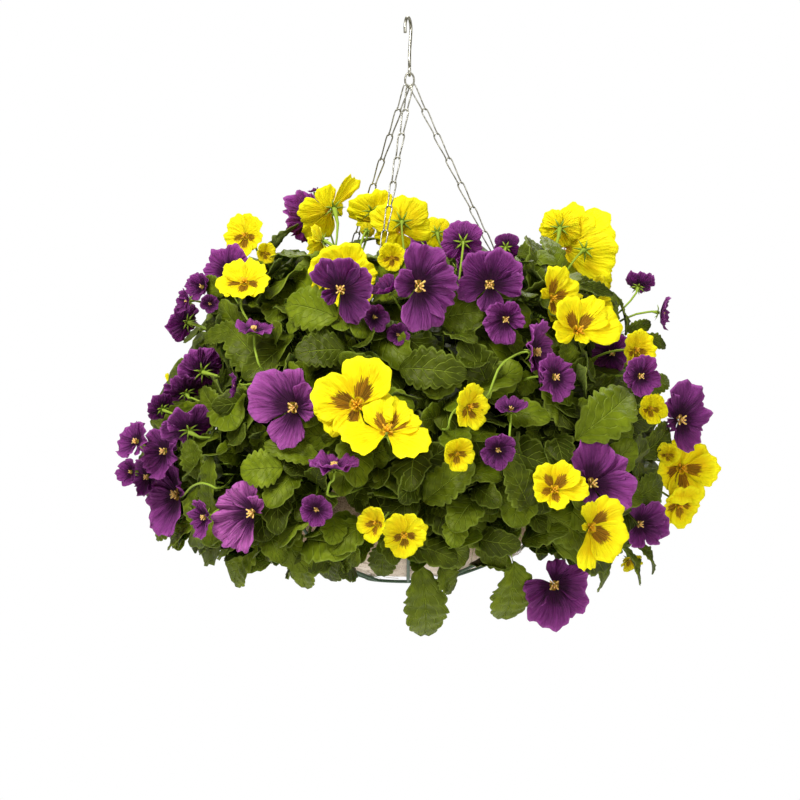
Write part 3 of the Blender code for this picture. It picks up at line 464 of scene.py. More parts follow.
def hook_points():
    """The hook's centre line: crown, shank and eye."""
    bend = HOOK_RADIUS + HOOK_WIRE / 2
    plane = Vector((math.sin(HOOK_LEAN), math.cos(HOOK_LEAN), 0.0))
    points = []
    for turn in CROWN_TURNS:
        angle = math.radians(turn)
        points.append(Vector((0, 0, bend * math.sin(angle) - HOOK_RADIUS)) - plane * bend * math.cos(angle))
    eye = Vector((EYE_OFFSET, 0.0, EYE_HEIGHT))
    points += [eye + Vector((0.0, back, EYE_RADIUS + above)) for back, above in SHANK]
    for turn in EYE_TURNS:
        angle = math.radians(turn)
        points.append(eye + Vector((0, math.cos(angle), math.sin(angle))) * EYE_RADIUS)
    return points


hook = bend_wire("bent_hook", hook_points(), HOOK_WIRE / 2, sides=4)
complete(hook, zinc, "galvanised_wire", "hook")
ring_points = [ring_point(turn) for turn in range(0, 360, 20)]
ring = bend_wire("oval_ring", ring_points, RING_WIRE / 2, closed=True, sides=3)
complete(ring, zinc, "galvanised_wire", "gather_ring")
print("hook corners:", len(hook.data.vertices), " ring corners:", len(ring.data.vertices))

# %% [markdown]
# ## Three loop chains
# Each link is one wire folded in two: a wide bend at the top, two legs that draw together, and a curl at
# the foot of each leg. The next link's bend hangs in both curls. One link's path is bent again and again
# down the chain, each turned a little so that the last one sits round the rim.

# %% Hang the chains
CHAIN_AZIMUTHS = (12.0, 132.0, 252.0)
RING_SEATS = (38.0, -38.0, 0.0)
LINKS = 14
LINK_CONTACT = 1.25 * MM
RIM_RADIUS = 175.0 * MM
RIM_HEIGHT = -404.0 * MM
RIM_WIRE = 5.0 * MM
THIN_WIRE = 0.75 * MM
CURL = 1.75 * MM
CURL_TURNS = range(0, 301, 50)
# The last links of a chain turn a little each, until the lowest one lies along the rim
TURNED_LINKS = 3
# Half a link from its top down: share of its length and half width
LINK_LEG = ((0.0, 1.2 * MM), (0.03, 2.5 * MM), (0.12, 3.1 * MM), (0.45, 2.5 * MM), (0.80, 1.7 * MM))
LAST_LEG = ((0.0, 1.2 * MM), (0.03, 2.5 * MM), (0.12, 3.1 * MM), (0.45, 3.4 * MM), (0.72, 4.6 * MM),
            (0.93, 4.6 * MM), (1.0, 2.0 * MM))


def polar(radius, azimuth, height):
    """A point at an azimuth in degrees from +X."""
    angle = math.radians(azimuth)
    return Vector((radius * math.cos(angle), radius * math.sin(angle), height))


def link_path(top, down, side, length, last):
    """One folded link: a curl, a leg up, the bend, a leg down and the other curl."""
    front = down.cross(side)
    leg = [(share * length, half, 0.0) for share, half in (LAST_LEG if last else LINK_LEG)]
    if not last:
        for turn in CURL_TURNS:
            angle = math.radians(turn)
            depth = length + CURL * (math.sin(angle) - 0.75)
            leg.append((depth, 1.7 * MM, CURL * (1 - math.cos(angle)) - CURL))
    half_path = [(down * fall + front * ahead, side * half) for fall, half, ahead in leg]
    path = [top + centre - aside for centre, aside in reversed(half_path)]
    return path + [top + centre + aside for centre, aside in half_path]


def hang_chain(index):
    """A chain of links from the gather ring to the rim."""
    azimuth = CHAIN_AZIMUTHS[index]
    seat = ring_point(RING_SEATS[index])
    rim = polar(RIM_RADIUS, azimuth, RIM_HEIGHT)
    down = (rim - seat).normalized()
    start = seat - down * (RING_WIRE / 2 + THIN_WIRE)
    end = rim + down * (RIM_WIRE / 2 + THIN_WIRE)
    pitch = ((end - start).length - LINK_CONTACT) / LINKS
    first_side = Vector((1.0, 0.0, 0.0)).cross(down).cross(down).normalized()
    last_side = polar(1.0, azimuth + 90, 0.0)
    turn = math.atan2(down.dot(first_side.cross(last_side)), first_side.dot(last_side))
    if abs(turn) > math.pi / 2:
        turn -= math.copysign(math.pi, turn)
    links = []
    for number in range(LINKS):
        part_turn = turn * max(0, number - LINKS + 1 + TURNED_LINKS) / TURNED_LINKS
        side = Matrix.Rotation(part_turn, 3, down) @ first_side
        last = number == LINKS - 1
        path = link_path(start + down * (pitch * number), down, side, pitch + LINK_CONTACT, last)
        links.append(bend_wire("link", path, THIN_WIRE, closed=last, smooth=2, sides=1))
    return join(f"loop_chain_{index + 1}", links)


for index in range(len(CHAIN_AZIMUTHS)):
    chain = hang_chain(index)
    complete(chain, zinc, "galvanised_wire", f"chain_{index + 1}")
print("chain corners:", len(chain.data.vertices))

# %% [markdown]
# ## The wire basket
# Green coated wire: a thick rim, two hoops and eight ribs, welded where they cross. Tori make the hoops
# and one bent rib is copied round. The coat is smooth plastic with a slight unevenness.

# %% Weld the basket
RIB_WIRE = 3.2 * MM
RIBS = 8
# The bowl's outline: distance from the middle and height under the rim, in millimetres
BASKET_STATIONS = ((175, 0), (171, -40), (154, -86), (112, -132), (42, -154))
HOOP_STATIONS = (2, 4)


def coated_wire():
    paint = Paint("green coated wire")
    worn = paint.grain(300, 3)
    green = paint.blend(worn.between(0.4, 0.75), (0.02, 0.055, 0.025), (0.05, 0.11, 0.045))
    paint.feed("Base Color", green)
    paint.feed("Roughness", 0.35 + 0.25 * worn)
    paint.bumps(worn, 0.0003)
    return paint.material


hoops = []
rounds = [(RIM_RADIUS, RIM_HEIGHT, RIM_WIRE)]
for station in HOOP_STATIONS:
    hoop_radius, hoop_drop = BASKET_STATIONS[station]
    rounds.append((hoop_radius * MM, RIM_HEIGHT + hoop_drop * MM, RIB_WIRE))
for hoop_radius, hoop_height, wire in rounds:
    hoops.append(add("torus", "hoop", major_radius=hoop_radius, minor_radius=wire / 2,
                     major_segments=72, minor_segments=10, location=(0, 0, hoop_height)))
for rib in range(RIBS):
    rib_points = [polar(r * MM, 360 * rib / RIBS, RIM_HEIGHT + z * MM) for r, z in BASKET_STATIONS]
    hoops.append(bend_wire("rib", rib_points, RIB_WIRE / 2, smooth=6, sides=2))
basket = join("wire_basket", hoops)
complete(basket, coated_wire(), "green_wire", "basket_frame")
print("basket corners:", len(basket.data.vertices))

# %% [markdown]
# ## The coir liner and the soil
# The liner is a mat of coconut fibre pressed into a bowl; the soil fills it. The bowl is spun from its
# half section, and short loose fibres lie on its outer face. Fine noise draws the strands in the mat,
# which turns nearly white towards the bottom.

# %% Mat the liner and fill it
LINER_THICKNESS = 8.0 * MM
LINER_STAND_OFF = 2.9 * MM
LIP_INSET = 8.0 * MM
FIBRES = 900
FIBRE_LENGTH = 14 * MM
FIBRE_ROOT = 0.35 * MM
FIBRE_TIP = 0.2 * MM
SOIL_DROP = 15 * MM
SOIL_REACH = 0.157
SOIL_CROWN = 6 * MM
# Within this distance from the middle the soil is lumpy
SOIL_LEVEL = 0.15
SOIL_LUMPS = 3 * MM
SPIN_STEPS = 64
SPIN_WELD = 0.01 * MM


def coir_mat():
    paint = Paint("coir")
    strands = paint.grain(900, 6)
    patches = paint.grain(60, 3)
    tone = (0.6 * strands + 0.4 * patches).between(0.35, 0.65)
    height = Value(paint, paint.node("ShaderNodeSeparateXYZ", {}, paint.place()).outputs[2])
    # Towards the bottom the mat turns nearly white
    paler_below = (-1 * height - 0.01 * patches).between(0.505, 0.545)
    brown = paint.blend(tone, (0.17, 0.085, 0.045), (0.60, 0.42, 0.26))
    pale = paint.blend(tone, (0.60, 0.47, 0.36), (0.92, 0.82, 0.70))
    paint.feed("Base Color", paint.blend(paler_below, brown, pale))
    paint.feed("Roughness", 0.8 + 0.15 * strands)
    paint.bumps(strands, 0.002)
    return paint.material


def earth():
    paint = Paint("potting soil")
    crumbs = paint.grain(260, 8)
    brown = paint.blend(crumbs.between(0.3, 0.7), (0.012, 0.008, 0.006), (0.09, 0.055, 0.035))
    paint.feed("Base Color", brown)
    paint.feed("Roughness", 0.85 + 0.1 * crumbs)
    paint.bumps(crumbs, 0.004)
    return paint.material


def bowl_section(offset):
    """The basket's stations drawn in by an offset, from the bottom up."""
    stations = [(r * MM, RIM_HEIGHT + z * MM) for r, z in reversed(BASKET_STATIONS)]
    section = []
    for index, (radius, height) in enumerate(stations):
        before = stations[max(index - 1, 0)]
        after = stations[min(index + 1, len(stations) - 1)]
        run = Vector((after[0] - before[0], after[1] - before[1])).normalized()
        section.append((radius - run.y * offset, height + run.x * offset))
    return section


def spin_section(name, section):
    """Spin a half section, whose ends lie on the axis, once round Z."""
    edges = [(corner, corner + 1) for corner in range(len(section) - 1)]
    piece = new_piece(name, [(r, 0, z) for r, z in section], edges, [])
    edit(piece)
    bpy.ops.mesh.spin(steps=SPIN_STEPS, angle=math.tau, center=(0, 0, 0), axis=(0, 0, 1))
    bpy.ops.mesh.select_all(action="SELECT")
    bpy.ops.mesh.remove_doubles(threshold=SPIN_WELD)
    bpy.ops.mesh.normals_make_consistent(inside=False)
    close_edit()
    # The weld leaves the faces in an order that differs from run to run, so they are sorted
    places = corners(piece)
    faces = sorted(tuple(face.vertices) for face in piece.data.polygons)
    piece.data.clear_geometry()
    piece.data.from_pydata(places, [], faces)
    return piece


outer = bowl_section(LINER_STAND_OFF)
inner = bowl_section(LINER_STAND_OFF + LINER_THICKNESS)
lip = RIM_HEIGHT + 4 * MM
lip_outer = RIM_RADIUS - LIP_INSET
liner_section = [(0.0, outer[0][1])] + outer[:-1] + [(lip_outer, RIM_HEIGHT - 6 * MM), (lip_outer, lip)]
liner_section += [(lip_outer - LINER_THICKNESS, lip)] + list(reversed(inner[:-1])) + [(0.0, inner[0][1])]
liner = spin_section("coir_lining", liner_section)
apply(liner, "SUBSURF", levels=1, render_levels=1)
draw = random.Random(3)
fibres = []
fibre_pattern = add("cone", "fibre", vertices=3, radius1=FIBRE_ROOT, radius2=FIBRE_TIP, depth=FIBRE_LENGTH)
for _ in range(FIBRES):
    row = draw.randrange(3)
    share = draw.random()
    (r0, z0), (r1, z1) = outer[row], outer[row + 1]
    azimuth = draw.uniform(0, 360)
    spot = polar(r0 + (r1 - r0) * share, azimuth, z0 + (z1 - z0) * share)
    slope = math.degrees(math.atan2(z1 - z0, r1 - r0))
    strand = copy_of(fibre_pattern)
    lie = Matrix.Rotation(math.radians(azimuth), 4, "Z") @ Matrix.Rotation(math.radians(-slope), 4, "Y")
    lie = lie @ Matrix.Rotation(draw.uniform(0, math.tau), 4, "Z") @ Matrix.Rotation(math.pi / 2, 4, "Y")
    strand.data.transform(Matrix.Translation(spot) @ lie)
    fibres.append(strand)
bpy.data.objects.remove(fibre_pattern)
liner = join("coir_lining", [liner] + fibres)
complete(liner, coir_mat(), "coir", "coir_liner")

fill = bowl_section(LINER_STAND_OFF + LINER_THICKNESS + GAP)
soil_top = RIM_HEIGHT - SOIL_DROP
soil_section = [(0.0, fill[0][1] + GAP)] + [(r, z + GAP) for r, z in fill[:-2]]
soil_section += [(RIM_RADIUS - LIP_INSET - LINER_THICKNESS - 2 * MM, soil_top)]
soil_section += [(share * SOIL_REACH, soil_top + SOIL_CROWN * (1 - share))
                 for share in (0.8, 0.6, 0.4, 0.2, 0.0)]
soil = spin_section("soil_fill", soil_section)
grounds = corners(soil)
for place in grounds:
    if place[2] > soil_top - 2 * MM and math.hypot(place[0], place[1]) < SOIL_LEVEL:
        place[2] += SOIL_LUMPS * noise.noise(Vector(place) * 60)
move_corners(soil, grounds)
complete(soil, earth(), "soil", "soil")
print("liner corners:", len(liner.data.vertices), " soil corners:", len(soil.data.vertices))

# %% [markdown]
# ## Petal finishes
# A pansy petal is thin and velvety, with fine lines running out from the throat. On the yellow ones the
# three lower petals carry brown blotches, drawn as rays; on the purple ones the throat is dark and the
# edge lighter. Each petal's corners know how far out and how far across they are, so both are formulas.

# %% Finish: petals
# The kind that each petal's corners carry: 0 has a blotch
PLAIN = 1.0
STAMEN = 2.0


def petal_parts(paint):
    """How far out, how far across, the petal's kind, and a number that differs from bloom to bloom."""
    out, across, kind = paint.read("petal")
    return out, across, kind, paint.read_one("bloom_tone")


def creases(paint, out, across, tone, wide, long):
    """Uneven creases that run out from the throat."""
    spot = paint.node("ShaderNodeCombineXYZ", {}, across * wide, out * long, tone * 37)
    return paint.grain(1.0, 4, spot.outputs[0])


def yellow_petal():
    paint = Paint("yellow petal", {"Subsurface Weight": 0.40, "Subsurface Scale": 0.004,
                                   "Subsurface Radius": (1.0, 0.7, 0.1), "Specular IOR Level": 0.12})
    out, across, kind, tone = petal_parts(paint)
    rays = creases(paint, out, across, tone, 9.0, 0.8)
    ragged = paint.grain(420, 3)
    marked = 1 - (kind - 0.1).between(0.0, 0.1)
    fingers = creases(paint, out, across, tone, 28.0, 0.4)
    reach = 0.38 + 0.42 * rays + 0.55 * (fingers - 0.5) + 0.1 * (ragged - 0.5) - 0.5 * across * across
    blotch = (reach - out).between(0.0, 0.05) * (out - 0.09).between(0.0, 0.06) * marked
    fine = creases(paint, out, across, tone, 24.0, 0.6).between(0.52, 0.66) * (0.8 - out).between(0.0, 0.4)
    warm = paint.blend(paint.grain(70, 2).between(0.3, 0.7), (0.92, 0.60, 0.001), (1.0, 0.80, 0.003))
    lit = paint.blend(out.between(0.55, 1.0) * 0.7, warm, (1.0, 0.88, 0.008))
    lined = paint.blend(fine * (0.10 + 0.25 * marked), lit, (0.66, 0.33, 0.0))
    brown = paint.blend(rays.between(0.35, 0.65), (0.060, 0.014, 0.002), (0.20, 0.070, 0.004))
    rayed = paint.blend(fingers.between(0.50, 0.60) * 0.7, brown, (0.52, 0.24, 0.006))
    spotted = paint.blend(blotch * 0.95, lined, rayed)
    eye = (0.13 - out).between(0.0, 0.05)
    throat = paint.blend(eye, spotted, (0.72, 0.36, 0.006))
    thread = (kind - 1.9).between(0.0, 0.1)
    paint.feed("Base Color", paint.blend(thread, throat, (0.75, 0.36, 0.02)))
    paint.feed("Roughness", 0.55 + 0.2 * ragged)
    paint.bumps(creases(paint, out, across, tone, 7.0, 2.2), 0.0035)
    return paint.material


def purple_petal():
    paint = Paint("purple petal", {"Subsurface Weight": 0.15, "Subsurface Scale": 0.003,
                                   "Subsurface Radius": (1.0, 0.2, 1.0), "Specular IOR Level": 0.12})
    out, across, kind, tone = petal_parts(paint)
    fold = creases(paint, out, across, tone, 6.0, 1.6)
    deep = paint.blend(tone.between(0.0, 1.0), (0.042, 0.006, 0.044), (0.095, 0.014, 0.092))
    usual = paint.blend(tone.between(0.0, 1.0), (0.12, 0.022, 0.115), (0.25, 0.046, 0.235))
    bright = paint.blend((tone - 1.0).between(0.0, 1.0), usual, (0.50, 0.13, 0.42))
    outer = (out * 0.8 + 0.8 * (fold - 0.5)).between(0.15, 0.85)
    body = paint.blend(outer, deep, bright)
    rays = creases(paint, out, across, tone, 22.0, 0.5).between(0.47, 0.62) * (0.95 - out).between(0.0, 0.6)
    rayed = paint.blend(rays * 0.6, body, (0.020, 0.002, 0.020))
    heart = (0.52 + 0.6 * (fold - 0.5) - out).between(0.0, 0.2)
    dark = paint.blend(heart * 0.7, rayed, (0.016, 0.003, 0.012))
    rim = out.between(0.90, 1.0)
    rimmed = paint.blend(rim * 0.5, dark, (0.40, 0.11, 0.38))
    eye = (0.11 - out).between(0.0, 0.05)
    throat = paint.blend(eye, rimmed, (0.60, 0.36, 0.03))
    thread = (kind - 1.9).between(0.0, 0.1)
    paint.feed("Base Color", paint.blend(thread, throat, (0.86, 0.55, 0.16)))
    paint.feed("Roughness", 0.6 + 0.2 * fold)
    paint.bumps(creases(paint, out, across, tone, 9.0, 2.6), 0.006)
    return paint.material


petal_finishes = {"yellow": yellow_petal(), "purple": purple_petal()}
print("finishes:", " and ".join(finish.name for finish in petal_finishes.values()))

# %% [markdown]
# ## Leaf finish
# Pansy leaves are glossy dark green above, paler below, with a light midrib, fine side veins that sink
# in, and a pale scalloped margin. The leaf's own length and width drive the veins. Each leaf also has a
# tone, in part its own and in part painted light, so that leaves standing in the light are lighter.

# %% Finish: leaves and stems
def leaf_green():
    paint = Paint("pansy leaf", {"Subsurface Weight": 0.03, "Subsurface Scale": 0.003,
                                 "Subsurface Radius": (0.4, 1.0, 0.1), "Specular IOR Level": 0.17,
                                 "Specular Tint": (1.0, 1.0, 0.5, 1.0)})
    along, across, side = paint.read("leaf")
    tone = paint.read_one("leaf_tone_and_light")
    wide = across.size()
    mottle = paint.grain(90, 4)
    rib = (0.05 - wide).between(0.0, 0.05)
    vein_at = ((along - 0.34 * wide) * 6.0 + 0.3).part() - 0.5
    vein = (0.10 - vein_at.size()).between(0.0, 0.10) * (1.0 - wide).between(0.0, 0.3)
    margin = (wide + 0.16 * (mottle - 0.5)).between(0.84, 1.0)
    # Each leaf's tone: in part its own random tone, in part painted light that makes lit leaves lighter
    light = tone.between(0.25, 1.0)
    dark = paint.blend(light, (0.026, 0.037, 0.001), (0.090, 0.125, 0.003))
    blade = paint.blend(mottle.between(0.3, 0.8) * tone, dark, (0.17, 0.22, 0.008))
    veined = paint.blend((rib * 0.7).maths("MAXIMUM", vein * 0.5), blade, (0.28, 0.36, 0.04))
    edged = paint.blend(margin * 0.4, veined, (0.24, 0.31, 0.04))
    under = paint.blend(side.between(0.2, 0.8) * 0.7, edged, (0.13, 0.165, 0.040))
    stalk = (side - 1.5).between(0.0, 0.3)
    green = paint.blend(stalk, under, (0.27, 0.38, 0.04))
    paint.feed("Base Color", green)
    paint.feed("Roughness", 0.34 + 0.2 * mottle + 0.15 * margin)
    relief = paint.grain(320, 3) * 0.3 - vein * 0.45 - rib * 0.7
    paint.bumps(relief, 0.0018)
    return paint.material


# Painted shade: a nearly black green with almost no reflection, for the plants' hearts, in place of the shade
# deep between the leaves
def painted_shade_leaves():
    paint = Paint("painted shade leaves", {"Specular IOR Level": 0.02})
    clumps = paint.grain(60, 4).between(0.35, 0.7)
    paint.feed("Base Color", paint.blend(clumps, (0.003, 0.005, 0.0005), (0.022, 0.032, 0.002)))
    paint.feed("Roughness", 0.8 + 0.2 * clumps)
    paint.bumps(paint.grain(90, 4), 0.01)
    return paint.material


leaf_finish = leaf_green()
painted_shade_finish = painted_shade_leaves()
print("finishes:", leaf_finish.name, "and", painted_shade_finish.name)

# %% [markdown]
# ## One leaf
# A leaf starts as a flat grid. Each row across is scaled in edit mode to the blade's width there, a little
# less at every third or fourth row, which leaves rounded lobes along the edge. The veins fold it slightly,
# and Solidify closes it. A thin cone makes the stalk. Later each copy is bent to its own place.

# %% Model the leaf patterns
# Half width of the blade, at even steps from the stalk to the tip
BLADE = (0.10, 0.46, 0.70, 0.86, 0.95, 1.0, 0.99, 0.95, 0.89, 0.80, 0.68, 0.50, 0.22)
VEINS = 6
VEIN_SLANT = 0.34
BLADE_THICKNESS = 0.014
STALK_LENGTH = 0.62


def blade_width(share):
    """Half width of the blade as a share of its greatest, at a share of its length."""
    place = share * (len(BLADE) - 1)
    row = min(int(place), len(BLADE) - 2)
    return BLADE[row] + (BLADE[row + 1] - BLADE[row]) * (place - row)


def model_leaf(name, rows, columns, lobe, depth):
    """A leaf and its stalk, with lobes so many rows long: x across, y along from 0 to 1, z up."""
    leaf = add("grid", name, x_subdivisions=columns, y_subdivisions=rows, size=1, location=(0, 0.5, 0))
    bpy.ops.object.transform_apply(location=True)
    flat = corners(leaf)
    edit(leaf)
    for row in range(rows + 1):
        share = row / rows
        scallop = 1.04 - depth * (1 - abs(math.sin(math.pi * row / lobe)))
        width = 2 * blade_width(share) * scallop
        pick(lambda corner: abs(corner.co.y - share) < 0.3 / rows)
        bpy.ops.transform.resize(value=(width, 1, 1), center_override=(0, share, 0))
    close_edit()
    shape = corners(leaf)
    wide = np.abs(flat[:, 0] * 2)
    along = flat[:, 1]
    fold = 0.15 * wide * (1 - 0.6 * wide)
    fold += 0.014 * np.cos((along - VEIN_SLANT * wide) * VEINS * math.tau + 0.3) * np.minimum(wide * 3, 1)
    shape[:, 2] = fold * np.clip(1.3 - 2 * np.abs(along - 0.45), 0.3, 1)
    move_corners(leaf, shape)
    note(leaf, "leaf", np.column_stack([along, flat[:, 0] * 2, np.zeros(len(along))]))
    count = len(shape)
    apply(leaf, "SOLIDIFY", thickness=BLADE_THICKNESS, offset=-1)
    sides = noted(leaf, "leaf")
    sides[count:, 2] = 1.0
    note(leaf, "leaf", sides)
    stalk = add("cone", "stalk", vertices=4, radius1=0.03, radius2=0.022, depth=STALK_LENGTH,
                location=(0, -0.27, -0.02), rotation=(-math.pi / 2, 0, 0))
    bpy.ops.object.transform_apply(location=True, rotation=True)
    note(stalk, "leaf", np.tile((0.0, 0.0, 2.0), (len(stalk.data.vertices), 1)))
    return join(name, [leaf, stalk])


fine_leaf = model_leaf("fine leaf", 28, 6, 4, 0.20)
plain_leaf = model_leaf("plain leaf", 12, 2, 3, 0.18)
print("leaf faces:", len(fine_leaf.data.polygons), "and", len(plain_leaf.data.polygons))

# %% [markdown]
# ## One pansy
# A petal is a grid whose columns are closed up and turned about the throat, like a fan, and then drawn
# in at the shoulders. Five copies at their own angles overlap: two behind, one at each side and one in
# front. A few thin cones are the threads in the throat.

# %% Model the petal and the bloom patterns
FAN = 50.0
PETAL_THICKNESS = 0.014
# Each petal: middle angle from the top, half span, reach, layer and kind (1 has no blotch)
PETAL_PLACES = ((36, 51, 1.0, 0.00, 1), (-36, 51, 1.0, 0.05, 1), (104, 46, 0.95, 0.10, 0),
                (-106, 46, 0.95, 0.11, 0), (180, 53, 1.0, 0.17, 0))


def model_petal(name, columns, rows):
    """A fan of quads from the throat to a rounded edge."""
    petal = add("grid", name, x_subdivisions=columns, y_subdivisions=rows, size=1, location=(0, 0.5, 0))
    bpy.ops.object.transform_apply(location=True)
    flat = corners(petal)
    edit(petal)
    bpy.ops.transform.resize(value=(0, 0.94, 1), center_override=(0, 1, 0))
    for column in range(columns + 1):
        share = 2 * column / columns - 1
        reach = 1 - 0.36 * abs(share) ** 3.6
        turn = math.radians(FAN * share)
        pick(lambda corner: corner.index % (columns + 1) == column)
        bpy.ops.transform.resize(value=(1, reach, 1), center_override=(0, 0, 0))
        bpy.ops.transform.rotate(value=turn, orient_axis="Z", center_override=(0, 0, 0))
    close_edit()
    shape = corners(petal)
    across = np.degrees(np.arctan2(shape[:, 0], shape[:, 1])) / FAN
    note(petal, "petal", np.column_stack([flat[:, 1], across, np.zeros(len(flat))]))
    return petal


def model_bloom(name, columns, rows, threads):
    """Five petals and the threads of the throat: Z forward, Y up, a radius of 1."""
    petal = model_petal("petal", columns, rows)
    parts = []
    for number, (middle, span, reach, layer, kind) in enumerate(PETAL_PLACES):
        part = copy_of(petal)
        shape = corners(part)
        marks = noted(part, "petal")
        out = np.hypot(shape[:, 0], shape[:, 1]) * reach
        turn = np.radians(middle + marks[:, 1] * span)
        move_corners(part, np.column_stack([out * np.sin(turn), out * np.cos(turn), layer * marks[:, 0]]))
        marks[:, 2] = kind
        note(part, "petal", marks)
        note(part, "petal_number", np.full(len(out), number))
        parts.append(part)
    bpy.data.objects.remove(petal)
    bloom = join(name, parts)
    edit(bloom)
    bpy.ops.mesh.normals_make_consistent(inside=False)
    close_edit()
    apply(bloom, "SOLIDIFY", thickness=PETAL_THICKNESS, offset=0)
    stamens = []
    for number in range(threads):
        stamen = add("cone", "thread", vertices=4, radius1=0.014, radius2=0.026, depth=0.22,
                     location=(0, 0, 0.14))
        bpy.ops.object.transform_apply(location=True)
        turn = math.tau * number / threads
        tilt = Matrix.Rotation(turn, 4, "Z") @ Matrix.Rotation(0.25 + 0.45 * (number % 2), 4, "X")
        stamen.data.transform(tilt)
        note(stamen, "petal", np.tile((0.0, 0.0, STAMEN), (len(stamen.data.vertices), 1)))
        note(stamen, "petal_number", np.full(len(stamen.data.vertices), len(PETAL_PLACES)))
        stamens.append(stamen)
    return join(name, [bloom] + stamens)


fine_bloom = model_bloom("fine bloom", 20, 7, 8)
plain_bloom = model_bloom("plain bloom", 11, 4, 5)
print("bloom faces:", len(fine_bloom.data.polygons), "and", len(plain_bloom.data.polygons))

# %% [markdown]
# ## Where every bloom stands
# The tables are the part's own. The part draws a bloom nearer or farther until it is clear of its
# neighbours, so the depth is found again here, by asking which one lies on the part's own surface.

# %% Read the blooms' places
# The petals of the part's solids: first and last angle, reach and layer
SOLID_PETALS = (
    (4, 66, 1.00, 0.0), (74, 136, 0.90, 2.2), (144, 216, 0.94, 4.6), (224, 286, 0.90, 2.2),
    (294, 356, 1.00, 1.1),
)
LARGE_BLOOM = 66
MEDIUM_BLOOM = 48
SMALL_BLOOM = 38
PLANTS = 6
PLANT_SPAN = 360 / PLANTS
# Height and distance from the middle, in millimetres, down the mound
MOUND_OUTLINE = (
    (-180, 95), (-210, 150), (-240, 182), (-280, 222), (-320, 240), (-380, 262),
    (-430, 280), (-470, 282), (-510, 262), (-540, 228), (-570, 185), (-620, 140),
)
# Each front bloom: across and height as seen by the camera, how far behind the mound's outline, turn
# away from the viewer, lift, roll, and size; millimetres and degrees
YELLOW_BLOOMS = (
    (-162, -216, 5, -20, 10, 0, 46), (-143, -233, 4, 25, 0, 0, 24), (-163, -263, -18, -10, 35, 0, 54),
    (-75, -188, 90, -150, 25, 0, 62), (-86, -222, 78, -110, -10, 0, 42), (-38, -192, 120, -170, 40, 0, 46),
    (-6, -201, 116, 180, 10, 0, 48), (-63, -258, 45, 0, 0, 20, 70), (177, -230, 20, 150, 10, 0, 62),
    (193, -256, 80, 60, 0, 0, 30), (144, -210, 58, 170, 10, 0, 42), (152, -270, 15, 30, 0, -15, 60),
    (173, -300, 5, 25, 15, 20, 70), (281, -450, 10, 50, 0, 0, 66), (274, -490, 4, 60, -20, 0, 38),
    (-54, -378, 0, -5, 8, 0, 76), (-21, -412, 0, 5, 35, 10, 72), (-31, -503, 0, -40, 0, 0, 36),
    (-4, -515, -4, 0, -15, 0, 46), (227, -330, -25, 35, 0, 0, 44), (195, -513, -30, 20, 0, 30, 64),
    (152, -467, -5, 5, 10, 0, 54), (60, -387, 0, 45, 0, 20, 46), (48, -433, 0, 15, -5, 0, 36),
    (-16, -238, 20, 0, 0, 0, 30), (-41, -211, 135, 170, 10, 0, 18), (29, -213, 190, 180, 0, 0, 36),
    (188, -266, 62, 40, 10, 0, 24), (192, -285, 38, 30, -10, 0, 26), (242, -388, 0, 20, 0, 0, 34),
    (259, -435, 60, 10, 10, 0, 26), (222, -540, 10, 30, -50, 0, 28),
)
PURPLE_BLOOMS = (
    (-105, -193, 105, -110, 0, 0, 46), (-180, -252, 40, -20, 20, 0, 54), (-205, -267, -11, -40, 10, 0, 34),
    (-220, -281, -24, -60, 0, 0, 28), (-221, -302, 40, -130, 10, 0, 46), (-154, -311, 0, 0, 72, 0, 44),
    (-213, -342, 70, -150, 20, 0, 46), (-222, -364, 74, -160, 45, 0, 42), (-246, -380, 30, -150, 30, 0, 34),
    (-218, -402, 45, -160, 45, 0, 50), (-246, -427, 43, -40, 0, 0, 46), (-271, -420, -44, -80, 20, 0, 40),
    (-277, -452, -16, -60, 0, 0, 26), (-260, -457, 57, -90, 0, 0, 38), (-240, -478, 84, -100, 0, 0, 58),
    (-203, -497, -20, -85, -10, 0, 40), (-167, -495, 6, -35, -5, 0, 66), (-124, -385, 12, -18, 0, 0, 70),
    (-66, -268, -5, 0, 5, 0, 62), (16, -267, 0, 15, 0, 0, 80), (-18, -272, 10, -60, 50, 0, 34),
    (55, -223, 95, 180, 0, 0, 44), (50, -250, 120, 60, 0, 0, 36), (83, -263, 0, 0, 0, 0, 62),
    (94, -299, 14, 5, -10, 0, 46), (125, -332, 0, 65, 0, 0, 64), (146, -357, -14, 42, 0, 0, 48),
    (230, -266, 10, 160, 45, 0, 36), (252, -293, 5, 80, -10, 0, 38), (232, -356, -39, 20, 0, 0, 42),
    (277, -393, -20, 30, 0, 0, 74), (193, -453, 35, 25, 10, 0, 68), (240, -504, 0, 25, 0, 0, 50),
    (148, -573, -46, 0, -5, 0, 68), (-198, -284, 34, 0, 0, 0, 22), (-171, -365, 0, -80, 0, 0, 28),
    (-92, -490, 10, 0, 0, 0, 34), (-34, -297, 28, 20, 0, 0, 30), (-10, -315, 44, 0, 0, 0, 24),
    (98, -228, 109, 170, 0, 0, 30), (103, -390, 10, 0, 60, 0, 32), (90, -430, 8, 0, -10, 0, 36),
    (205, -333, 62, -20, 0, 0, 42), (-74, -448, 0, 0, 72, 0, 50), (-94, -172, 110, -60, 60, 0, 12),
)
# Behind, the blooms stand in rows: height, how many, first and last azimuth
BACK_LARGE_ROWS = ((-222, 1, 84, 84), (-292, 3, 38, 146), (-386, 4, 16, 164), (-482, 3, 40, 140))
BACK_SMALL_ROWS = ((-250, 2, 60, 118), (-340, 3, 32, 146), (-436, 2, 60, 120), (-530, 3, 34, 148))
BACK_LARGE_SIZES = (62, 56, 68, 58)
BACK_SMALL_SIZES = (44, 38, 46)
DEPTH_SHIFTS = (0, 8, -8, 16, -16, 24, -24, 32, -32, 44, -44)


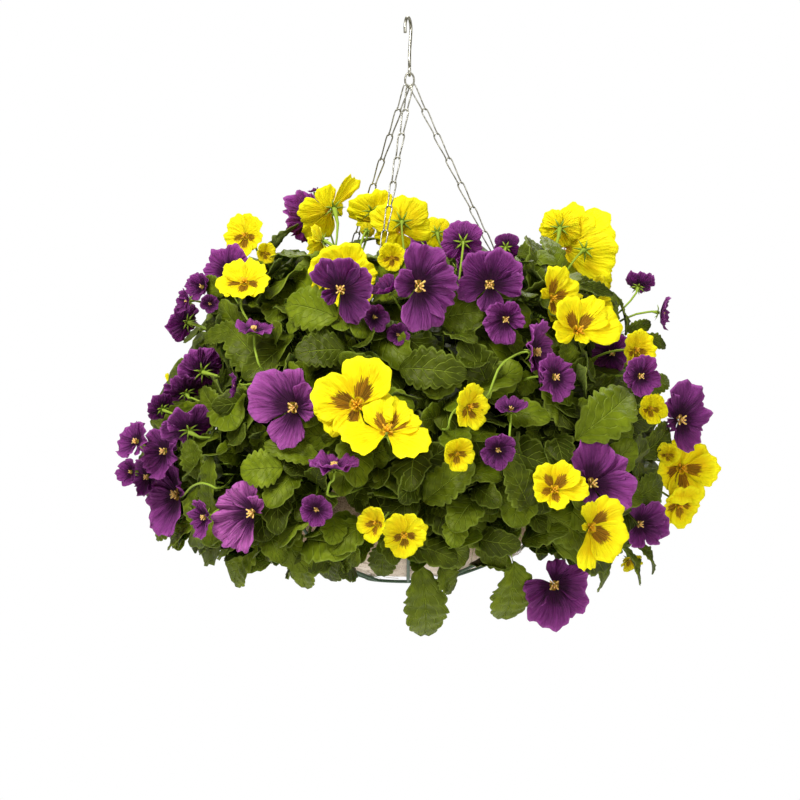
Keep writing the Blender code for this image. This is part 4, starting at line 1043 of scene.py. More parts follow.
def table_value(table, height):
    """Read a radius at a height from a table of heights and radii, in millimetres."""
    if height >= table[0][0]:
        return table[0][1]
    for (high, wide), (low, narrow) in zip(table, table[1:]):
        if height >= low:
            return wide + (narrow - wide) * (high - height) / (high - low)
    return table[-1][1]


def seen_point(across, height, depth):
    """The point at a depth that looks from in front as if it stood at across and height."""
    flat = Vector((across * MM, 0.0, height * MM))
    return VIEW_POINT + (flat - VIEW_POINT) * ((depth * MM - VIEW_POINT.y) / (flat.y - VIEW_POINT.y))


def front_depth(across, height):
    """Depth of the mound's outline at a place seen from in front."""
    radius = table_value(MOUND_OUTLINE, height)
    return -math.sqrt(max(radius * radius - across * across, 0.0))


def facing(turn, lift):
    """A direction from a turn away from the viewer and a lift, in degrees."""
    turn, lift = math.radians(turn), math.radians(lift)
    return Vector((math.sin(turn) * math.cos(lift), -math.cos(turn) * math.cos(lift), math.sin(lift)))


def upright_frame(origin, forward, roll):
    """A frame with Z forward and Y as near up as it can be, rolled in degrees about Z."""
    forward = forward.normalized()
    up = Vector((0.0, 1.0, 0.0)) if abs(forward.z) > 0.97 else Vector((0.0, 0.0, 1.0))
    side = up.cross(forward).normalized()
    axes = Matrix((side, forward.cross(side), forward)).transposed().to_4x4()
    return Matrix.Translation(origin) @ axes @ Matrix.Rotation(math.radians(roll), 4, "Z")


def front_frame(row, shift):
    """Where a bloom of the front tables stands, drawn back by a shift."""
    across, height, set_back, turn, lift, roll, size = row
    centre = seen_point(across, height, front_depth(across, height) + set_back + shift)
    return upright_frame(centre, facing(turn, lift), roll)


def back_places(rows, draw):
    """Points in rows behind the basket, each with its outward direction."""
    places = []
    for height, count, first, last in rows:
        for index in range(count):
            share = 0.5 if count == 1 else index / (count - 1)
            azimuth = first + (last - first) * share + draw.uniform(-5, 5)
            level = height + draw.uniform(-8, 8)
            radius = table_value(MOUND_OUTLINE, level) - 8
            point = polar(radius * MM, azimuth, level * MM)
            outward = polar(1.0, azimuth + draw.uniform(-25, 25), draw.uniform(-0.1, 0.6))
            places.append((point, outward.normalized()))
    return places


def bloom_rows():
    """Every bloom: its name, colour, size, and its frame for each depth it may stand at."""
    rows = []
    for colour, table in (("yellow", YELLOW_BLOOMS), ("purple", PURPLE_BLOOMS)):
        for number, row in enumerate(table, 1):
            frames = [front_frame(row, shift) for shift in DEPTH_SHIFTS]
            rows.append((f"{colour}_bloom_{number:02d}", colour, row[-1], frames))
    draw = random.Random(7)
    for word, table, sizes in (
        ("back", BACK_LARGE_ROWS, BACK_LARGE_SIZES), ("small", BACK_SMALL_ROWS, BACK_SMALL_SIZES),
    ):
        for number, (point, outward) in enumerate(back_places(table, draw), 1):
            colour = "yellow" if number % 3 == 2 else "purple"
            turn = draw.uniform(-30, 30)
            frames = [upright_frame(point - outward * shift * MM, outward, turn) for shift in DEPTH_SHIFTS]
            rows.append((f"{colour}_bloom_{word}_{number:02d}", colour, sizes[number % len(sizes)], frames))
    return rows


def solid_corners(size):
    """Corners of the part's own bloom in its frame: one or two on each petal, and its notches."""
    radius = size * MM / 2
    places = []
    for first, last, reach, layer in SOLID_PETALS:
        # The corners' angles, their share of the reach, their lift, and how thick a layer is
        angles, share, lift, step = ((first + last) / 2,), 1.0, 0.30, 1.0
        if size >= LARGE_BLOOM:
            angles, share, lift, step = (first - 6, last + 6), 0.93, 0.9 * 0.18 * 0.93, 2.4
        elif size >= MEDIUM_BLOOM:
            lift = 0.75 * 0.30
        elif size >= SMALL_BLOOM:
            angles, share, lift = (first + 8,), 0.94, 0.8 * 0.30 * 0.94
        for angle in angles:
            angle = math.radians(angle)
            span = radius * reach * share
            height = radius * lift + layer * step * MM * share
            places.append(Vector((math.sin(angle) * span, math.cos(angle) * span, height)))
    return places


def surface(nodes):
    """A search tree over the meshes of several pieces or nodes."""
    places, faces = [], []
    for node in nodes:
        mesh = node.data
        start = len(places)
        places += [corner.co.copy() for corner in mesh.vertices]
        faces += [tuple(start + index for index in face.vertices) for face in mesh.polygons]
    return BVHTree.FromPolygons(places, faces)


# Blooms that stand a little away from the part's own: turn in degrees, then how much nearer, times the
# size, and how far right and up, in millimetres
BLOOM_MOVES = {
    "purple_bloom_01": (-25, 0, 1.30, 8, -5), "purple_bloom_07": (0, 0, 1.15, 7, -9),
    "purple_bloom_08": (14, 0, 1.10, 0, -8), "purple_bloom_09": (0, 0, 1.00, 0, -8),
    "purple_bloom_10": (0, 0, 1.10, -1, -7), "purple_bloom_11": (0, 0, 1.15, 3, -4),
    "purple_bloom_12": (30, 0, 1.10, 0, -2), "purple_bloom_13": (25, 0, 1.10, 0, 0),
    "purple_bloom_14": (42, 2, 1.10, 0, 0), "purple_bloom_15": (48, 4, 1.15, 4, 0),
    "purple_bloom_16": (30, 0, 1.00, 0, 0), "yellow_bloom_06": (0, 0, 1.20, 2, 1),
    "yellow_bloom_07": (0, 0, 1.15, 0, -1), "yellow_bloom_09": (0, 0, 1.10, 0, 0),
    "yellow_bloom_11": (0, 0, 1.15, 8, 2), "yellow_bloom_14": (-32, 0, 1.12, -8, 2),
    "yellow_bloom_15": (-34, 0, 1.35, -3, 6), "yellow_bloom_17": (0, 13, 1.00, 0, 0),
}
plant_names = [f"pansy_plant_{number}" for number in range(1, PLANTS + 1)]
plants_surface = surface([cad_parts[name] for name in plant_names])
blooms = []
misses = []
for bloom_name, colour, size, frames in bloom_rows():
    own = bloom_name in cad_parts
    tree = surface([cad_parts[bloom_name]]) if own else plants_surface
    tips = solid_corners(size)
    gaps = [sum(tree.find_nearest(place @ tip)[3] for tip in tips) / len(tips) for place in frames]
    best = min(range(len(frames)), key=lambda index: gaps[index])
    misses.append(gaps[best])
    turn, nearer, grow, right, up = BLOOM_MOVES.get(bloom_name, (0, 0, 1, 0, 0))
    spot = frames[best].translation
    spot = spot + (VIEW_POINT - spot).normalized() * nearer * MM + Vector((right, 0, up)) * MM
    turned = Matrix.Rotation(math.radians(turn), 4, "Z") @ frames[best].to_3x3().to_4x4()
    blooms.append((bloom_name, colour, size * grow, Matrix.Translation(spot) @ turned, own))
print("blooms:", len(blooms), " farthest from the part's surface, mm:", round(max(misses) / MM, 2))

# %% [markdown]
# ## Pansies
# Each bloom is a copy of the pattern in its own frame. Every petal gets its own reach, tilt and ruffles,
# drawn at random, because no two petals on a plant are alike, and small blooms are more closed.

# %% Set the blooms in their places
FINE_BLOOM = 40
# How far a bloom's petals close toward a bell: large blooms, and small ones
OPEN_BELL = (0.0, 0.14)
CLOSED_BELL = (0.1, 0.35)
CRUMPLED = {"purple": 1.9, "yellow": 0.9}
PETAL_TILT = (-0.06, 0.12)
PETAL_RUFFLE = (0.05, 0.10)


def plant_of(point):
    """Which of the six plants a point belongs to, by its azimuth."""
    azimuth = math.degrees(math.atan2(point.y, point.x))
    return int(((azimuth - CHAIN_AZIMUTHS[0]) % 360) / PLANT_SPAN) + 1


# The blooms that show most have petals of their own: the roll to undo, the throat's place across and up
# as shares of the radius, and each petal's middle angle, half span, reach and kind, from back to front
BLOOM_PETALS = {
    "yellow_bloom_06": (0, -0.45, -0.5, (
        (-35, 34, 1.0, 1), (98, 26, 0.95, 1), (20, 40, 1.2, 1), (62, 42, 1.35, 1), (180, 50, 0.5, 1))),
    "yellow_bloom_07": (0, 0.05, -0.38, (
        (45, 44, 1.25, 1), (-22, 46, 1.35, 1), (-78, 42, 1.1, 1), (108, 42, 0.95, 1), (180, 50, 0.68, 1))),
    "yellow_bloom_09": (0, 0.68, 0.08, (
        (-25, 42, 1.3, 1), (-70, 46, 1.6, 1), (-150, 40, 1.3, 1), (-112, 46, 1.6, 1), (70, 30, 0.5, 1))),
    "purple_bloom_15": (0, 0.3, 0.12, (
        (-18, 36, 1.25, 1), (-72, 46, 1.1, 1), (60, 38, 0.65, 1), (-125, 50, 1.25, 0), (176, 52, 1.25, 0))),
    "yellow_bloom_04": (0, 0.1, -0.1, (
        (-38, 22, 1.35, 1), (20, 42, 0.8, 1), (100, 42, 1.0, 0), (-100, 36, 0.6, 0), (175, 46, 1.2, 0))),
    "yellow_bloom_12": (-15, -0.35, -0.28, (
        (105, 32, 1.25, 1), (-60, 30, 0.5, 1), (170, 36, 0.75, 0), (4, 38, 1.05, 0), (68, 40, 0.95, 0))),
    "yellow_bloom_13": (20, -0.17, -0.32, (
        (88, 40, 1.2, 1), (-100, 35, 0.85, 1), (-32, 46, 0.95, 0), (42, 45, 1.0, 0), (180, 50, 0.42, 1))),
    "yellow_bloom_16": (0, 0.08, -0.18, (
        (100, 38, 0.92, 1), (-118, 40, 0.98, 1), (25, 50, 1.18, 0), (-72, 52, 1.08, 0), (-164, 42, 0.86, 0))),
    "yellow_bloom_17": (10, 0.0, 0.0, (
        (72, 35, 0.85, 0), (-28, 50, 0.82, 0), (24, 46, 0.86, 0), (128, 42, 1.2, 1), (-112, 38, 1.25, 1))),
    "yellow_bloom_21": (30, -0.42, 0.18, (
        (-8, 30, 0.75, 1), (-80, 30, 0.35, 1), (-172, 22, 1.25, 1), (52, 44, 1.1, 0), (126, 55, 1.15, 0))),
    "yellow_bloom_22": (0, -0.2, -0.1, (
        (-30, 46, 0.95, 0), (88, 34, 1.15, 1), (-102, 46, 0.78, 0), (40, 48, 1.0, 0), (172, 50, 0.72, 0))),
    "purple_bloom_17": (0, 0.45, 0.08, (
        (42, 46, 0.58, 1), (-22, 46, 0.95, 1), (-72, 38, 1.1, 0), (-155, 32, 1.15, 0), (-116, 34, 1.35, 0))),
    "purple_bloom_18": (0, 0.3, -0.06, (
        (-5, 40, 1.02, 1), (110, 36, 0.62, 1), (55, 45, 0.78, 0), (-64, 56, 1.26, 0), (-168, 42, 1.08, 0))),
    "purple_bloom_19": (0, -0.05, -0.06, (
        (-46, 36, 1.05, 1), (-120, 36, 0.6, 1), (75, 46, 1.0, 0), (14, 50, 0.95, 0), (142, 38, 1.12, 0))),
    "purple_bloom_20": (0, -0.14, 0.02, (
        (10, 46, 1.0, 1), (-80, 50, 0.62, 1), (70, 38, 0.88, 0), (125, 36, 0.88, 0), (174, 46, 1.04, 0))),
    "purple_bloom_24": (0, -0.05, -0.06, (
        (-28, 44, 1.1, 1), (-100, 36, 1.0, 1), (38, 50, 1.14, 0), (90, 36, 1.0, 0), (175, 42, 0.86, 0))),
    "purple_bloom_25": (0, 0.14, 0.0, (
        (28, 40, 0.8, 1), (-52, 46, 0.9, 1), (92, 45, 0.75, 0), (-112, 40, 0.95, 0), (-166, 50, 1.02, 0))),
    "purple_bloom_31": (0, -0.2, -0.18, (
        (-110, 32, 0.5, 1), (80, 46, 0.85, 1), (-42, 36, 0.8, 0), (8, 50, 1.05, 0), (163, 46, 0.85, 0))),
    "purple_bloom_32": (0, -0.34, -0.3, (
        (-75, 36, 0.7, 1), (60, 36, 1.1, 1), (-158, 45, 0.82, 0), (-4, 52, 1.22, 0), (106, 44, 1.2, 0))),
    "purple_bloom_33": (0, -0.4, 0.0, (
        (-10, 30, 0.9, 1), (60, 40, 1.15, 1), (98, 36, 1.25, 0), (-160, 46, 0.9, 0), (130, 32, 1.0, 0))),
    "purple_bloom_34": (0, -0.05, 0.24, (
        (12, 42, 0.72, 1), (-110, 42, 0.88, 1), (80, 50, 0.95, 0), (135, 42, 1.08, 0), (-172, 46, 1.22, 0))),
}
# How bright some purple blooms are; the others are drawn between 0 and 1
BLOOM_TONES = {
    "purple_bloom_17": 1.7, "purple_bloom_18": 1.3, "purple_bloom_15": 1.0, "purple_bloom_11": 0.9,
    "purple_bloom_07": 0.9, "purple_bloom_32": 0.9, "purple_bloom_34": 0.6, "purple_bloom_20": 0.5,
    "purple_bloom_24": 0.35, "purple_bloom_19": 0.05, "purple_bloom_31": 0.45,
}


def petal_rows(name, draw):
    """A bloom's roll to undo, its throat and its petals: its own, or the usual ones a little varied."""
    if name in BLOOM_PETALS:
        return BLOOM_PETALS[name]
    rows = []
    for middle, span, reach, _, kind in PETAL_PLACES:
        middle += draw.uniform(-8, 8)
        span *= draw.uniform(0.88, 1.1)
        reach *= draw.uniform(0.84, 1.04)
        rows.append((middle, span, reach, kind))
    return 0, 0.0, 0.0, rows


def set_bloom(name, colour, place, size, draw):
    """One bloom, with its petals' tilt, ruffles and edges drawn at random."""
    pattern = fine_bloom if size >= FINE_BLOOM else plain_bloom
    bloom = copy_of(pattern)
    roll, shift_across, shift_up, rows = petal_rows(name, draw)
    closed = draw.uniform(*(OPEN_BELL if size >= FINE_BLOOM else CLOSED_BELL))
    shape = corners(bloom)
    marks = noted(bloom, "petal")
    number = noted_number(bloom, "petal_number")
    bloom.data.attributes.remove(bloom.data.attributes["petal_number"])
    petals = number < len(PETAL_PLACES)
    share = np.where(petals, marks[:, 0], 0.0)
    across = marks[:, 1]
    out = np.hypot(shape[:, 0], shape[:, 1])
    turn = np.arctan2(shape[:, 0], shape[:, 1])
    waves = np.zeros(len(out))
    for petal, (middle, span, reach, kind) in enumerate(rows):
        mine = number == petal
        start = [draw.uniform(0, math.tau) for _ in range(5)]
        tilt = draw.uniform(*PETAL_TILT)
        strength = draw.uniform(*PETAL_RUFFLE) * CRUMPLED[colour]
        side, far = across[mine], share[mine]
        ruffle = 0.55 * np.sin(side * 4.2 + start[0]) + 0.5 * np.sin(side * 8.5 + start[1])
        ruffle += 0.4 * np.sin(side * 15 + start[2] + far * 3)
        edge = 0.035 * np.sin(side * 6 + start[3])
        if pattern is fine_bloom:
            edge += 0.03 * np.sin(side * 15 + start[4])
        waves[mine] = tilt * far + strength * ruffle * far ** 2 - 0.07 * np.abs(side) ** 3 * far
        out[mine] *= reach / PETAL_PLACES[petal][2] * (1 + edge * far ** 3)
        turn[mine] = np.radians(middle + side * span) + 0.06 * np.sin(far * 5 + start[2]) * far
        front = shape[:, 2] > PETAL_PLACES[petal][3] * marks[:, 0]
        marks[mine, 2] = np.where(front[mine], kind, PLAIN)
    bell = closed * 1.15 * share
    lift = shape[:, 2] + waves + 0.10 * share ** 1.5 * petals
    flat = out * np.cos(bell)
    shape = np.column_stack([flat * np.sin(turn) + shift_across, flat * np.cos(turn) + shift_up,
                             lift * np.cos(bell) + out * np.sin(bell)])
    shape *= size * MM / 2
    place = place @ Matrix.Rotation(-math.radians(roll), 4, "Z")
    move_corners(bloom, shape @ np.array(place.to_3x3()).T + np.array(place.translation))
    note(bloom, "petal", marks)
    usual_tone = draw.random()
    note(bloom, "bloom_tone", np.full(len(shape), BLOOM_TONES.get(name, usual_tone)))
    return bloom


draw = random.Random(21)
small = {}
for bloom_name, colour, size, place, own in blooms:
    bloom = set_bloom(bloom_name, colour, place, size, draw)
    if own:
        bloom.name = bloom_name.replace("bloom", "pansy")
        complete(bloom, petal_finishes[colour], f"{colour}_petal", bloom_name)
    else:
        small.setdefault((colour, plant_of(place.translation)), []).append(bloom)
for (colour, plant), pieces in sorted(small.items()):
    cluster = join(f"small_{colour}_pansies_{plant}", pieces)
    complete(cluster, petal_finishes[colour], f"{colour}_petal", f"pansy_plant_{plant}")
print("pieces of small blooms:", len(small))

# %% [markdown]
# ## The dark heart of each plant
# Under the outer leaves a real plant is a tangle of stalks and leaves in shade. Here it is a smaller lumpy
# body: a section carried round each plant's share of the circle, smoothed, pushed about by noise, and
# covered by leaves all over. Its nearly black finish is painted shade.

# %% Model the hearts
# Distance from the middle and height, in millimetres
HEART_SECTION = ((60, -318), (110, -310), (152, -334), (180, -384), (190, -440), (190, -484), (184, -470),
                 (183, -400), (60, -396))
HEART_STEPS = 6
HEART_MARGIN = 4
HEART_LUMPS = 6 * MM
LUMP_GRAIN = 55
LUMP_SHIFT = Vector((7.3, 3.1, 5.7))
CROWN_RADIUS = 130 * MM
CROWN_HEIGHT = -400 * MM


def heart_place(number):
    """The middle of a plant's heart."""
    return polar(CROWN_RADIUS, CHAIN_AZIMUTHS[0] + PLANT_SPAN * (number - 0.5), CROWN_HEIGHT)


def leaf_heart(number):
    """The lumpy inner body of one plant."""
    first = CHAIN_AZIMUTHS[0] + PLANT_SPAN * (number - 1) + HEART_MARGIN
    span = PLANT_SPAN - 2 * HEART_MARGIN
    count = len(HEART_SECTION)
    places = [tuple(polar(r * MM, first + span * step / HEART_STEPS, z * MM))
              for step in range(HEART_STEPS + 1) for r, z in HEART_SECTION]
    faces = [tuple(range(count)), tuple(HEART_STEPS * count + corner for corner in reversed(range(count)))]
    for step in range(HEART_STEPS):
        for corner in range(count):
            a, b = step * count + corner, step * count + (corner + 1) % count
            faces.append((b, a, a + count, b + count))
    heart = new_piece("heart", places, [], faces)
    # As listed, the faces look inward
    heart.data.flip_normals()
    apply(heart, "SUBSURF", levels=2, render_levels=2)
    shape = corners(heart)
    for place in shape:
        spots = [Vector(place) * LUMP_GRAIN + LUMP_SHIFT * axis for axis in range(3)]
        place += HEART_LUMPS * np.array([noise.noise(spot) for spot in spots])
    move_corners(heart, shape)
    return heart


hearts = [leaf_heart(number) for number in range(1, PLANTS + 1)]
heart_tree = surface(hearts)
for number, heart in enumerate(hearts, 1):
    heart.name = f"plant_heart_{number}"
    complete(heart, painted_shade_finish, "leaf", f"pansy_plant_{number}")
print("heart faces:", len(hearts[0].data.polygons))

# %% [markdown]
# ## Flower stems
# A stem leaves the back of the bloom at the swollen green calyx, arches, and goes down into the plant.
# Pointed sepals hold the petals. A Bezier curve gives the arch, and each sepal is a small keeled blade.

# %% Grow the flower stems
STEM_RADIUS = 1.1 * MM
STEM_STEPS = 9
STEM_SIDES = 6
STEM_SWING = 6 * MM
# How far a stem runs straight back from its bloom, and how far it rises over its end
STEM_RUN = 30 * MM
STEM_RISE = 20 * MM
CALYX_LENGTH = 11 * MM
CALYX_ROOM = 0.009
SEPALS = 7
SEPAL_HALF = 1.1 * MM
# A sepal's corners: two at its root, one side, the tip, the other side, and two under its middle
SEPAL_FACES = ((0, 1, 2, 4), (2, 3, 4), (0, 4, 6, 5), (5, 6, 2, 1), (4, 3, 6), (6, 3, 2), (0, 5, 1))


def sweep(points, radii, sides):
    """The corners and faces of a closed tube along points, with a radius at each."""
    rings = []
    side = None
    for index, point in enumerate(points):
        ahead = (points[min(index + 1, len(points) - 1)] - points[max(index - 1, 0)]).normalized()
        side = ahead.orthogonal() if side is None else side - ahead * side.dot(ahead)
        side = side.normalized()
        other = ahead.cross(side)
        for step in range(sides):
            angle = math.tau * step / sides
            rings.append(point + (side * math.cos(angle) + other * math.sin(angle)) * radii[index])
    faces = [tuple(range(sides))[::-1], tuple(len(rings) - sides + step for step in range(sides))]
    for index in range(len(points) - 1):
        for step in range(sides):
            a, b = index * sides + step, index * sides + (step + 1) % sides
            faces.append((a, b, b + sides, a + sides))
    return rings, faces


# Stems that show in front: where each passes, across, height and distance behind the mound's outline
STEM_PATHS = {
    "purple_bloom_12": ((-268, -424, 60), (-240, -430, 100)),
    "purple_bloom_13": ((-272, -458, 90), (-245, -462, 120)),
    "yellow_bloom_03": ((-169, -283, 8), (-161, -300, 14)),
    "purple_bloom_06": ((-153, -330, 4), (-148, -350, 10)),
    "purple_bloom_15": ((-217, -466, 10), (-204, -462, 4), (-186, -472, 8)),
    "purple_bloom_26": ((92, -344, 0), (85, -362, 4), (79, -380, 14)),
    "purple_bloom_44": ((-79, -462, 2), (-82, -482, 10)),
    "yellow_bloom_23": ((42, -396, 4), (40, -412, 12)),
    "purple_bloom_41": ((102, -408, 2), (101, -424, 10)),
}


def rounded(points):
    """A finer line that cuts the corners of a line of points."""
    finer = [points[0]]
    for first, second in zip(points, points[1:]):
        finer += [first.lerp(second, 0.25), first.lerp(second, 0.75)]
    return finer + [points[-1]]


def stem_points(name, place, number, draw):
    """The middle line of a stem, from the back of its bloom into its plant's heart."""
    start = place @ Vector((0, 0, -0.6 * MM))
    back = (place.to_3x3() @ Vector((0, 0, -1))).normalized()
    goal = heart_place(number)
    spot, _, _, _ = heart_tree.find_nearest(start + back * STEM_RUN)
    goal = spot + (goal - spot) * 0.25
    swing = Vector((draw.uniform(-1, 1), draw.uniform(-1, 1), 0.4)) * STEM_SWING
    one = start + back * min(STEM_RUN, (goal - start).length * 0.5) + swing
    two = goal + Vector((0, 0, STEM_RISE)) + (start - goal) * 0.25
    points = []
    for step in range(STEM_STEPS + 1):
        t = step / STEM_STEPS
        u = 1 - t
        points.append(start * u ** 3 + one * 3 * u * u * t + two * 3 * u * t * t + goal * t ** 3)
    if name in STEM_PATHS:
        passes = [seen_point(across, height, front_depth(across, height) + behind)
                  for across, height, behind in STEM_PATHS[name]]
        points = rounded(rounded([start, start + back * 0.012] + passes + [goal]))
    calyx = [start + back * (share * CALYX_LENGTH) for share in (0, 0.3, 0.7)]
    if (points[1] - start).length > CALYX_ROOM:
        return calyx + points[1:]
    return calyx[:2] + points[2:]


def sepal_corners(angle, swell, size):
    """One sepal's corners in its bloom's frame, pointing out at an angle."""
    outward = Vector((math.sin(angle), math.cos(angle), 0))
    side = Vector((math.cos(angle), -math.sin(angle), 0))
    reach = min(size * 0.24, 13) * MM
    above = (
        outward * swell * 0.6 + side * swell * 0.5, outward * swell * 0.6 - side * swell * 0.5,
        outward * reach * 0.5 - side * SEPAL_HALF, outward * reach - Vector((0, 0, 2.4 * MM)),
        outward * reach * 0.5 + side * SEPAL_HALF,
    )
    under = (outward * swell * 0.6, outward * reach * 0.5)
    return ([point + Vector((0, 0, -2.2 * MM)) for point in above]
            + [point + Vector((0, 0, -3.0 * MM)) for point in under])


def grow_stem(name, place, size, number, draw):
    """A stem, its calyx and its sepals."""
    points = stem_points(name, place, number, draw)
    swell = min(max(size * 0.05, 1.5), 2.6) * MM
    radii = [swell * 0.8, swell, swell * 0.6] + [STEM_RADIUS] * (len(points) - 3)
    places, faces = sweep(points, radii, STEM_SIDES)
    for step in range(SEPALS):
        base = len(places)
        angle = math.tau * (step + 0.5) / SEPALS
        places += [place @ point for point in sepal_corners(angle, swell, size)]
        faces += [tuple(base + corner for corner in face) for face in SEPAL_FACES]
    stem = new_piece("stem", [tuple(point) for point in places], [], faces)
    body = bmesh.new()
    body.from_mesh(stem.data)
    bmesh.ops.recalc_face_normals(body, faces=body.faces)
    body.to_mesh(stem.data)
    body.free()
    note(stem, "leaf", np.tile((0.0, 0.0, 2.0), (len(places), 1)))
    note(stem, "leaf_tone_and_light", np.full(len(places), draw.random()))
    return stem


stems = {}
draw = random.Random(5)
for bloom_name, colour, size, place, own in blooms:
    number = plant_of(place @ Vector((0, 0, -STEM_RUN)))
    stems.setdefault(number, []).append(grow_stem(bloom_name, place, size, number, draw))
for number, pieces in sorted(stems.items()):
    complete(join(f"flower_stems_{number}", pieces), leaf_finish, "leaf", f"pansy_plant_{number}")
print("stems:", sum(len(pieces) for pieces in stems.values()))

# %% [markdown]
# ## Leaves
# The leaves that show in front are listed one by one, most of them as in the part's own table. The rest
# are drawn by a seeded rule over the whole mound, in layers, and a leaf is kept only where it hides no
# bloom and cuts through few others.

# %% Grow the leaves
# Each leaf that shows in front: base and tip, across and height as seen by the camera, its width, how far
# behind the mound's outline its base and its tip lie, all in millimetres, and how light it is, which is
# in part its own tone and in part painted light
FRONT_LEAVES = (
    (-70, -298, -123, -282, 44, 40, 25, 0.95), (30, -298, 76, -292, 40, 45, 28, 0.5),
    (-8, -348, 56, -352, 42, 40, 12, 0.25), (16, -482, 64, -443, 36, 30, 10, 0.6),
    (122, -282, 119, -217, 30, 40, 70, 0.45), (143, -270, 141, -214, 28, 40, 75, 0.7),
    (12, -545, 19, -625, 42, 20, 0, 0.7), (12, -512, 60, -542, 42, 24, 0, 0.5),
    (106, -542, 96, -602, 44, 30, 0, 0.8), (183, -532, 195, -570, 34, 30, 10, 0.6),
    (-150, -522, -178, -564, 42, 30, 10, 0.95), (-103, -525, -105, -570, 34, 30, 10, 0.8),
    (-100, -496, -142, -537, 34, 40, 26, 0.5), (-218, -500, -256, -516, 26, 70, 60, 0.7),
    (-125, -448, -168, -450, 38, 30, 4, 1.0), (-88, -440, -144, -424, 26, 40, 18, 0.7),
    (-196, -495, -198, -438, 28, 30, 14, 0.6), (-208, -460, -220, -420, 26, 40, 20, 0.45),
    (-63, -330, -112, -332, 40, 50, 22, 0.15), (167, -420, 230, -368, 50, 40, 8, 0.95),
    (192, -420, 224, -405, 30, 50, 20, 0.8), (232, -435, 262, -405, 34, 50, 20, 0.3),
    (224, -480, 257, -460, 34, 40, 20, 0.4), (137, -488, 172, -525, 40, 40, 14, 0.45),
    (40, -480, 80, -528, 36, 40, 8, 0.6), (122, -490, 97, -442, 36, 40, 14, 0.4),
    (82, -375, 57, -320, 38, 50, 22, 0.35), (157, -352, 159, -313, 28, 60, 40, 0.6),
    (165, -410, 135, -365, 44, 50, 20, 0.55), (-165, -310, -203, -320, 24, 40, 20, 0.5),
    (217, -315, 210, -277, 24, 60, 50, 0.6), (217, -310, 242, -303, 16, 60, 50, 0.4),
    (233, -318, 259, -326, 16, 50, 30, 0.3), (237, -370, 262, -358, 20, 50, 30, 0.5),
    (172, -265, 204, -275, 14, 40, 20, 0.1), (-138, -355, -176, -310, 46, 50, 20, 0.5),
    (-103, -280, -110, -233, 30, 60, 60, 0.2), (-120, -290, -138, -262, 25, 50, 35, 0.3),
    (-63, -236, -28, -218, 34, 150, 150, 0.4), (-146, -245, -107, -206, 14, 90, 90, 0.3),
    (-43, -510, 2, -485, 40, 40, 14, 0.45), (-58, -485, -33, -452, 38, 40, 14, 0.35),
    (-183, -400, -208, -368, 30, 50, 20, 0.6), (-73, -530, -83, -562, 36, 30, 10, 0.3),
    (32, -546, 44, -572, 26, 26, 8, 0.5), (-193, -515, -213, -533, 16, 30, 12, 0.6),
    (-86, -440, -83, -392, 34, 50, 16, 0.55), (-156, -435, -158, -404, 20, 50, 18, 0.5),
    (217, -528, 235, -565, 14, 30, 12, 0.5), (227, -525, 250, -553, 14, 30, 12, 0.4),
    (-176, -272, -205, -260, 22, 50, -50, 0.6), (-23, -522, -27, -557, 28, 40, 20, 0.4),
    (-58, -518, -66, -552, 26, 40, 20, 0.35), (-205, -500, -238, -530, 26, 60, 50, 0.8),
)
# Layers of the other leaves: base and tip distance in from the outline, and spacing, in millimetres
LEAF_LAYERS = ((76, 40, 40), (60, 26, 34), (46, 12, 36))
LEAF_LEVELS = (-248, -530)
LEAF_TRIES = 12
LEAF_TOP = -0.230
SHORTEST_LEAF = 28 * MM
# A leaf along its own outward direction would stand on edge
EDGE_ON = 0.92
# Leaves whose middles are farther apart than this aren't tested against each other
LEAF_NEIGHBOURS = 50 * MM
LEAF_TILT = (-0.5, 0.5)
LEAF_SHAPE = (0.64, 0.84)
SIDE_LEAF_LENGTHS = (38, 68)
TOP_LEAF_LENGTHS = (38, 56)
# How a leaf bends: shares of its length, and radians for the twist
LEAF_ARCH = (0.12, 0.5)
LEAF_DROOP = (-0.05, 0.14)
LEAF_TWIST = (-0.5, 0.5)
LEAF_WAVE = 0.045
LEAF_BOW = (-0.12, 0.12)
STALK_SHARE = 0.58
# Leaves over the upper level lean up, and those under the lower level hang
UPPER_LEVEL = -300
LOWER_LEVEL = -480
FACING_UP_LEVEL = -320
# Guesses start near a leaf's place in its layer and stray more each time; the last ones are shorter
FIRST_STRAY = 0.3
LATE_TRY = 7
LATE_SHORTER = 0.35
# A usual radius, to turn a stray in millimetres into degrees
USUAL_RADIUS = 200
# The room kept free of leaves behind a bloom's middle, close before it, and farther before it
ROOM_BEHIND = 4 * MM
ROOM_CLOSE = 20 * MM
ROOM_BEFORE = 55 * MM
# A leaf hides a bloom that the line of sight meets within these times the distance to the leaf
LINE_LIMITS = (1.0, 1.07)
# How low a leaf's tip may hang: distance from the middle, and height, in millimetres
UNDERSIDE = ((0, -524), (110, -532), (170, -538), (215, -536), (245, -520), (270, -498), (300, -465))
# The leaves that cover the top, round the chains' middle: distance from the middle, height and how many
TOP_ROWS = ((20, -352, 4), (48, -338, 9), (78, -322, 13), (40, -300, 5), (80, -280, 12), (112, -296, 14),
            (118, -266, 16), (158, -276, 20))


def lowest(point):
    """How low a leaf may hang at a point."""
    flat = math.hypot(point.x, point.y) / MM
    for (near, high), (far, low) in zip(UNDERSIDE, UNDERSIDE[1:]):
        if flat <= far:
            return (high + (low - high) * (flat - near) / (far - near)) * MM
    return UNDERSIDE[-1][1] * MM


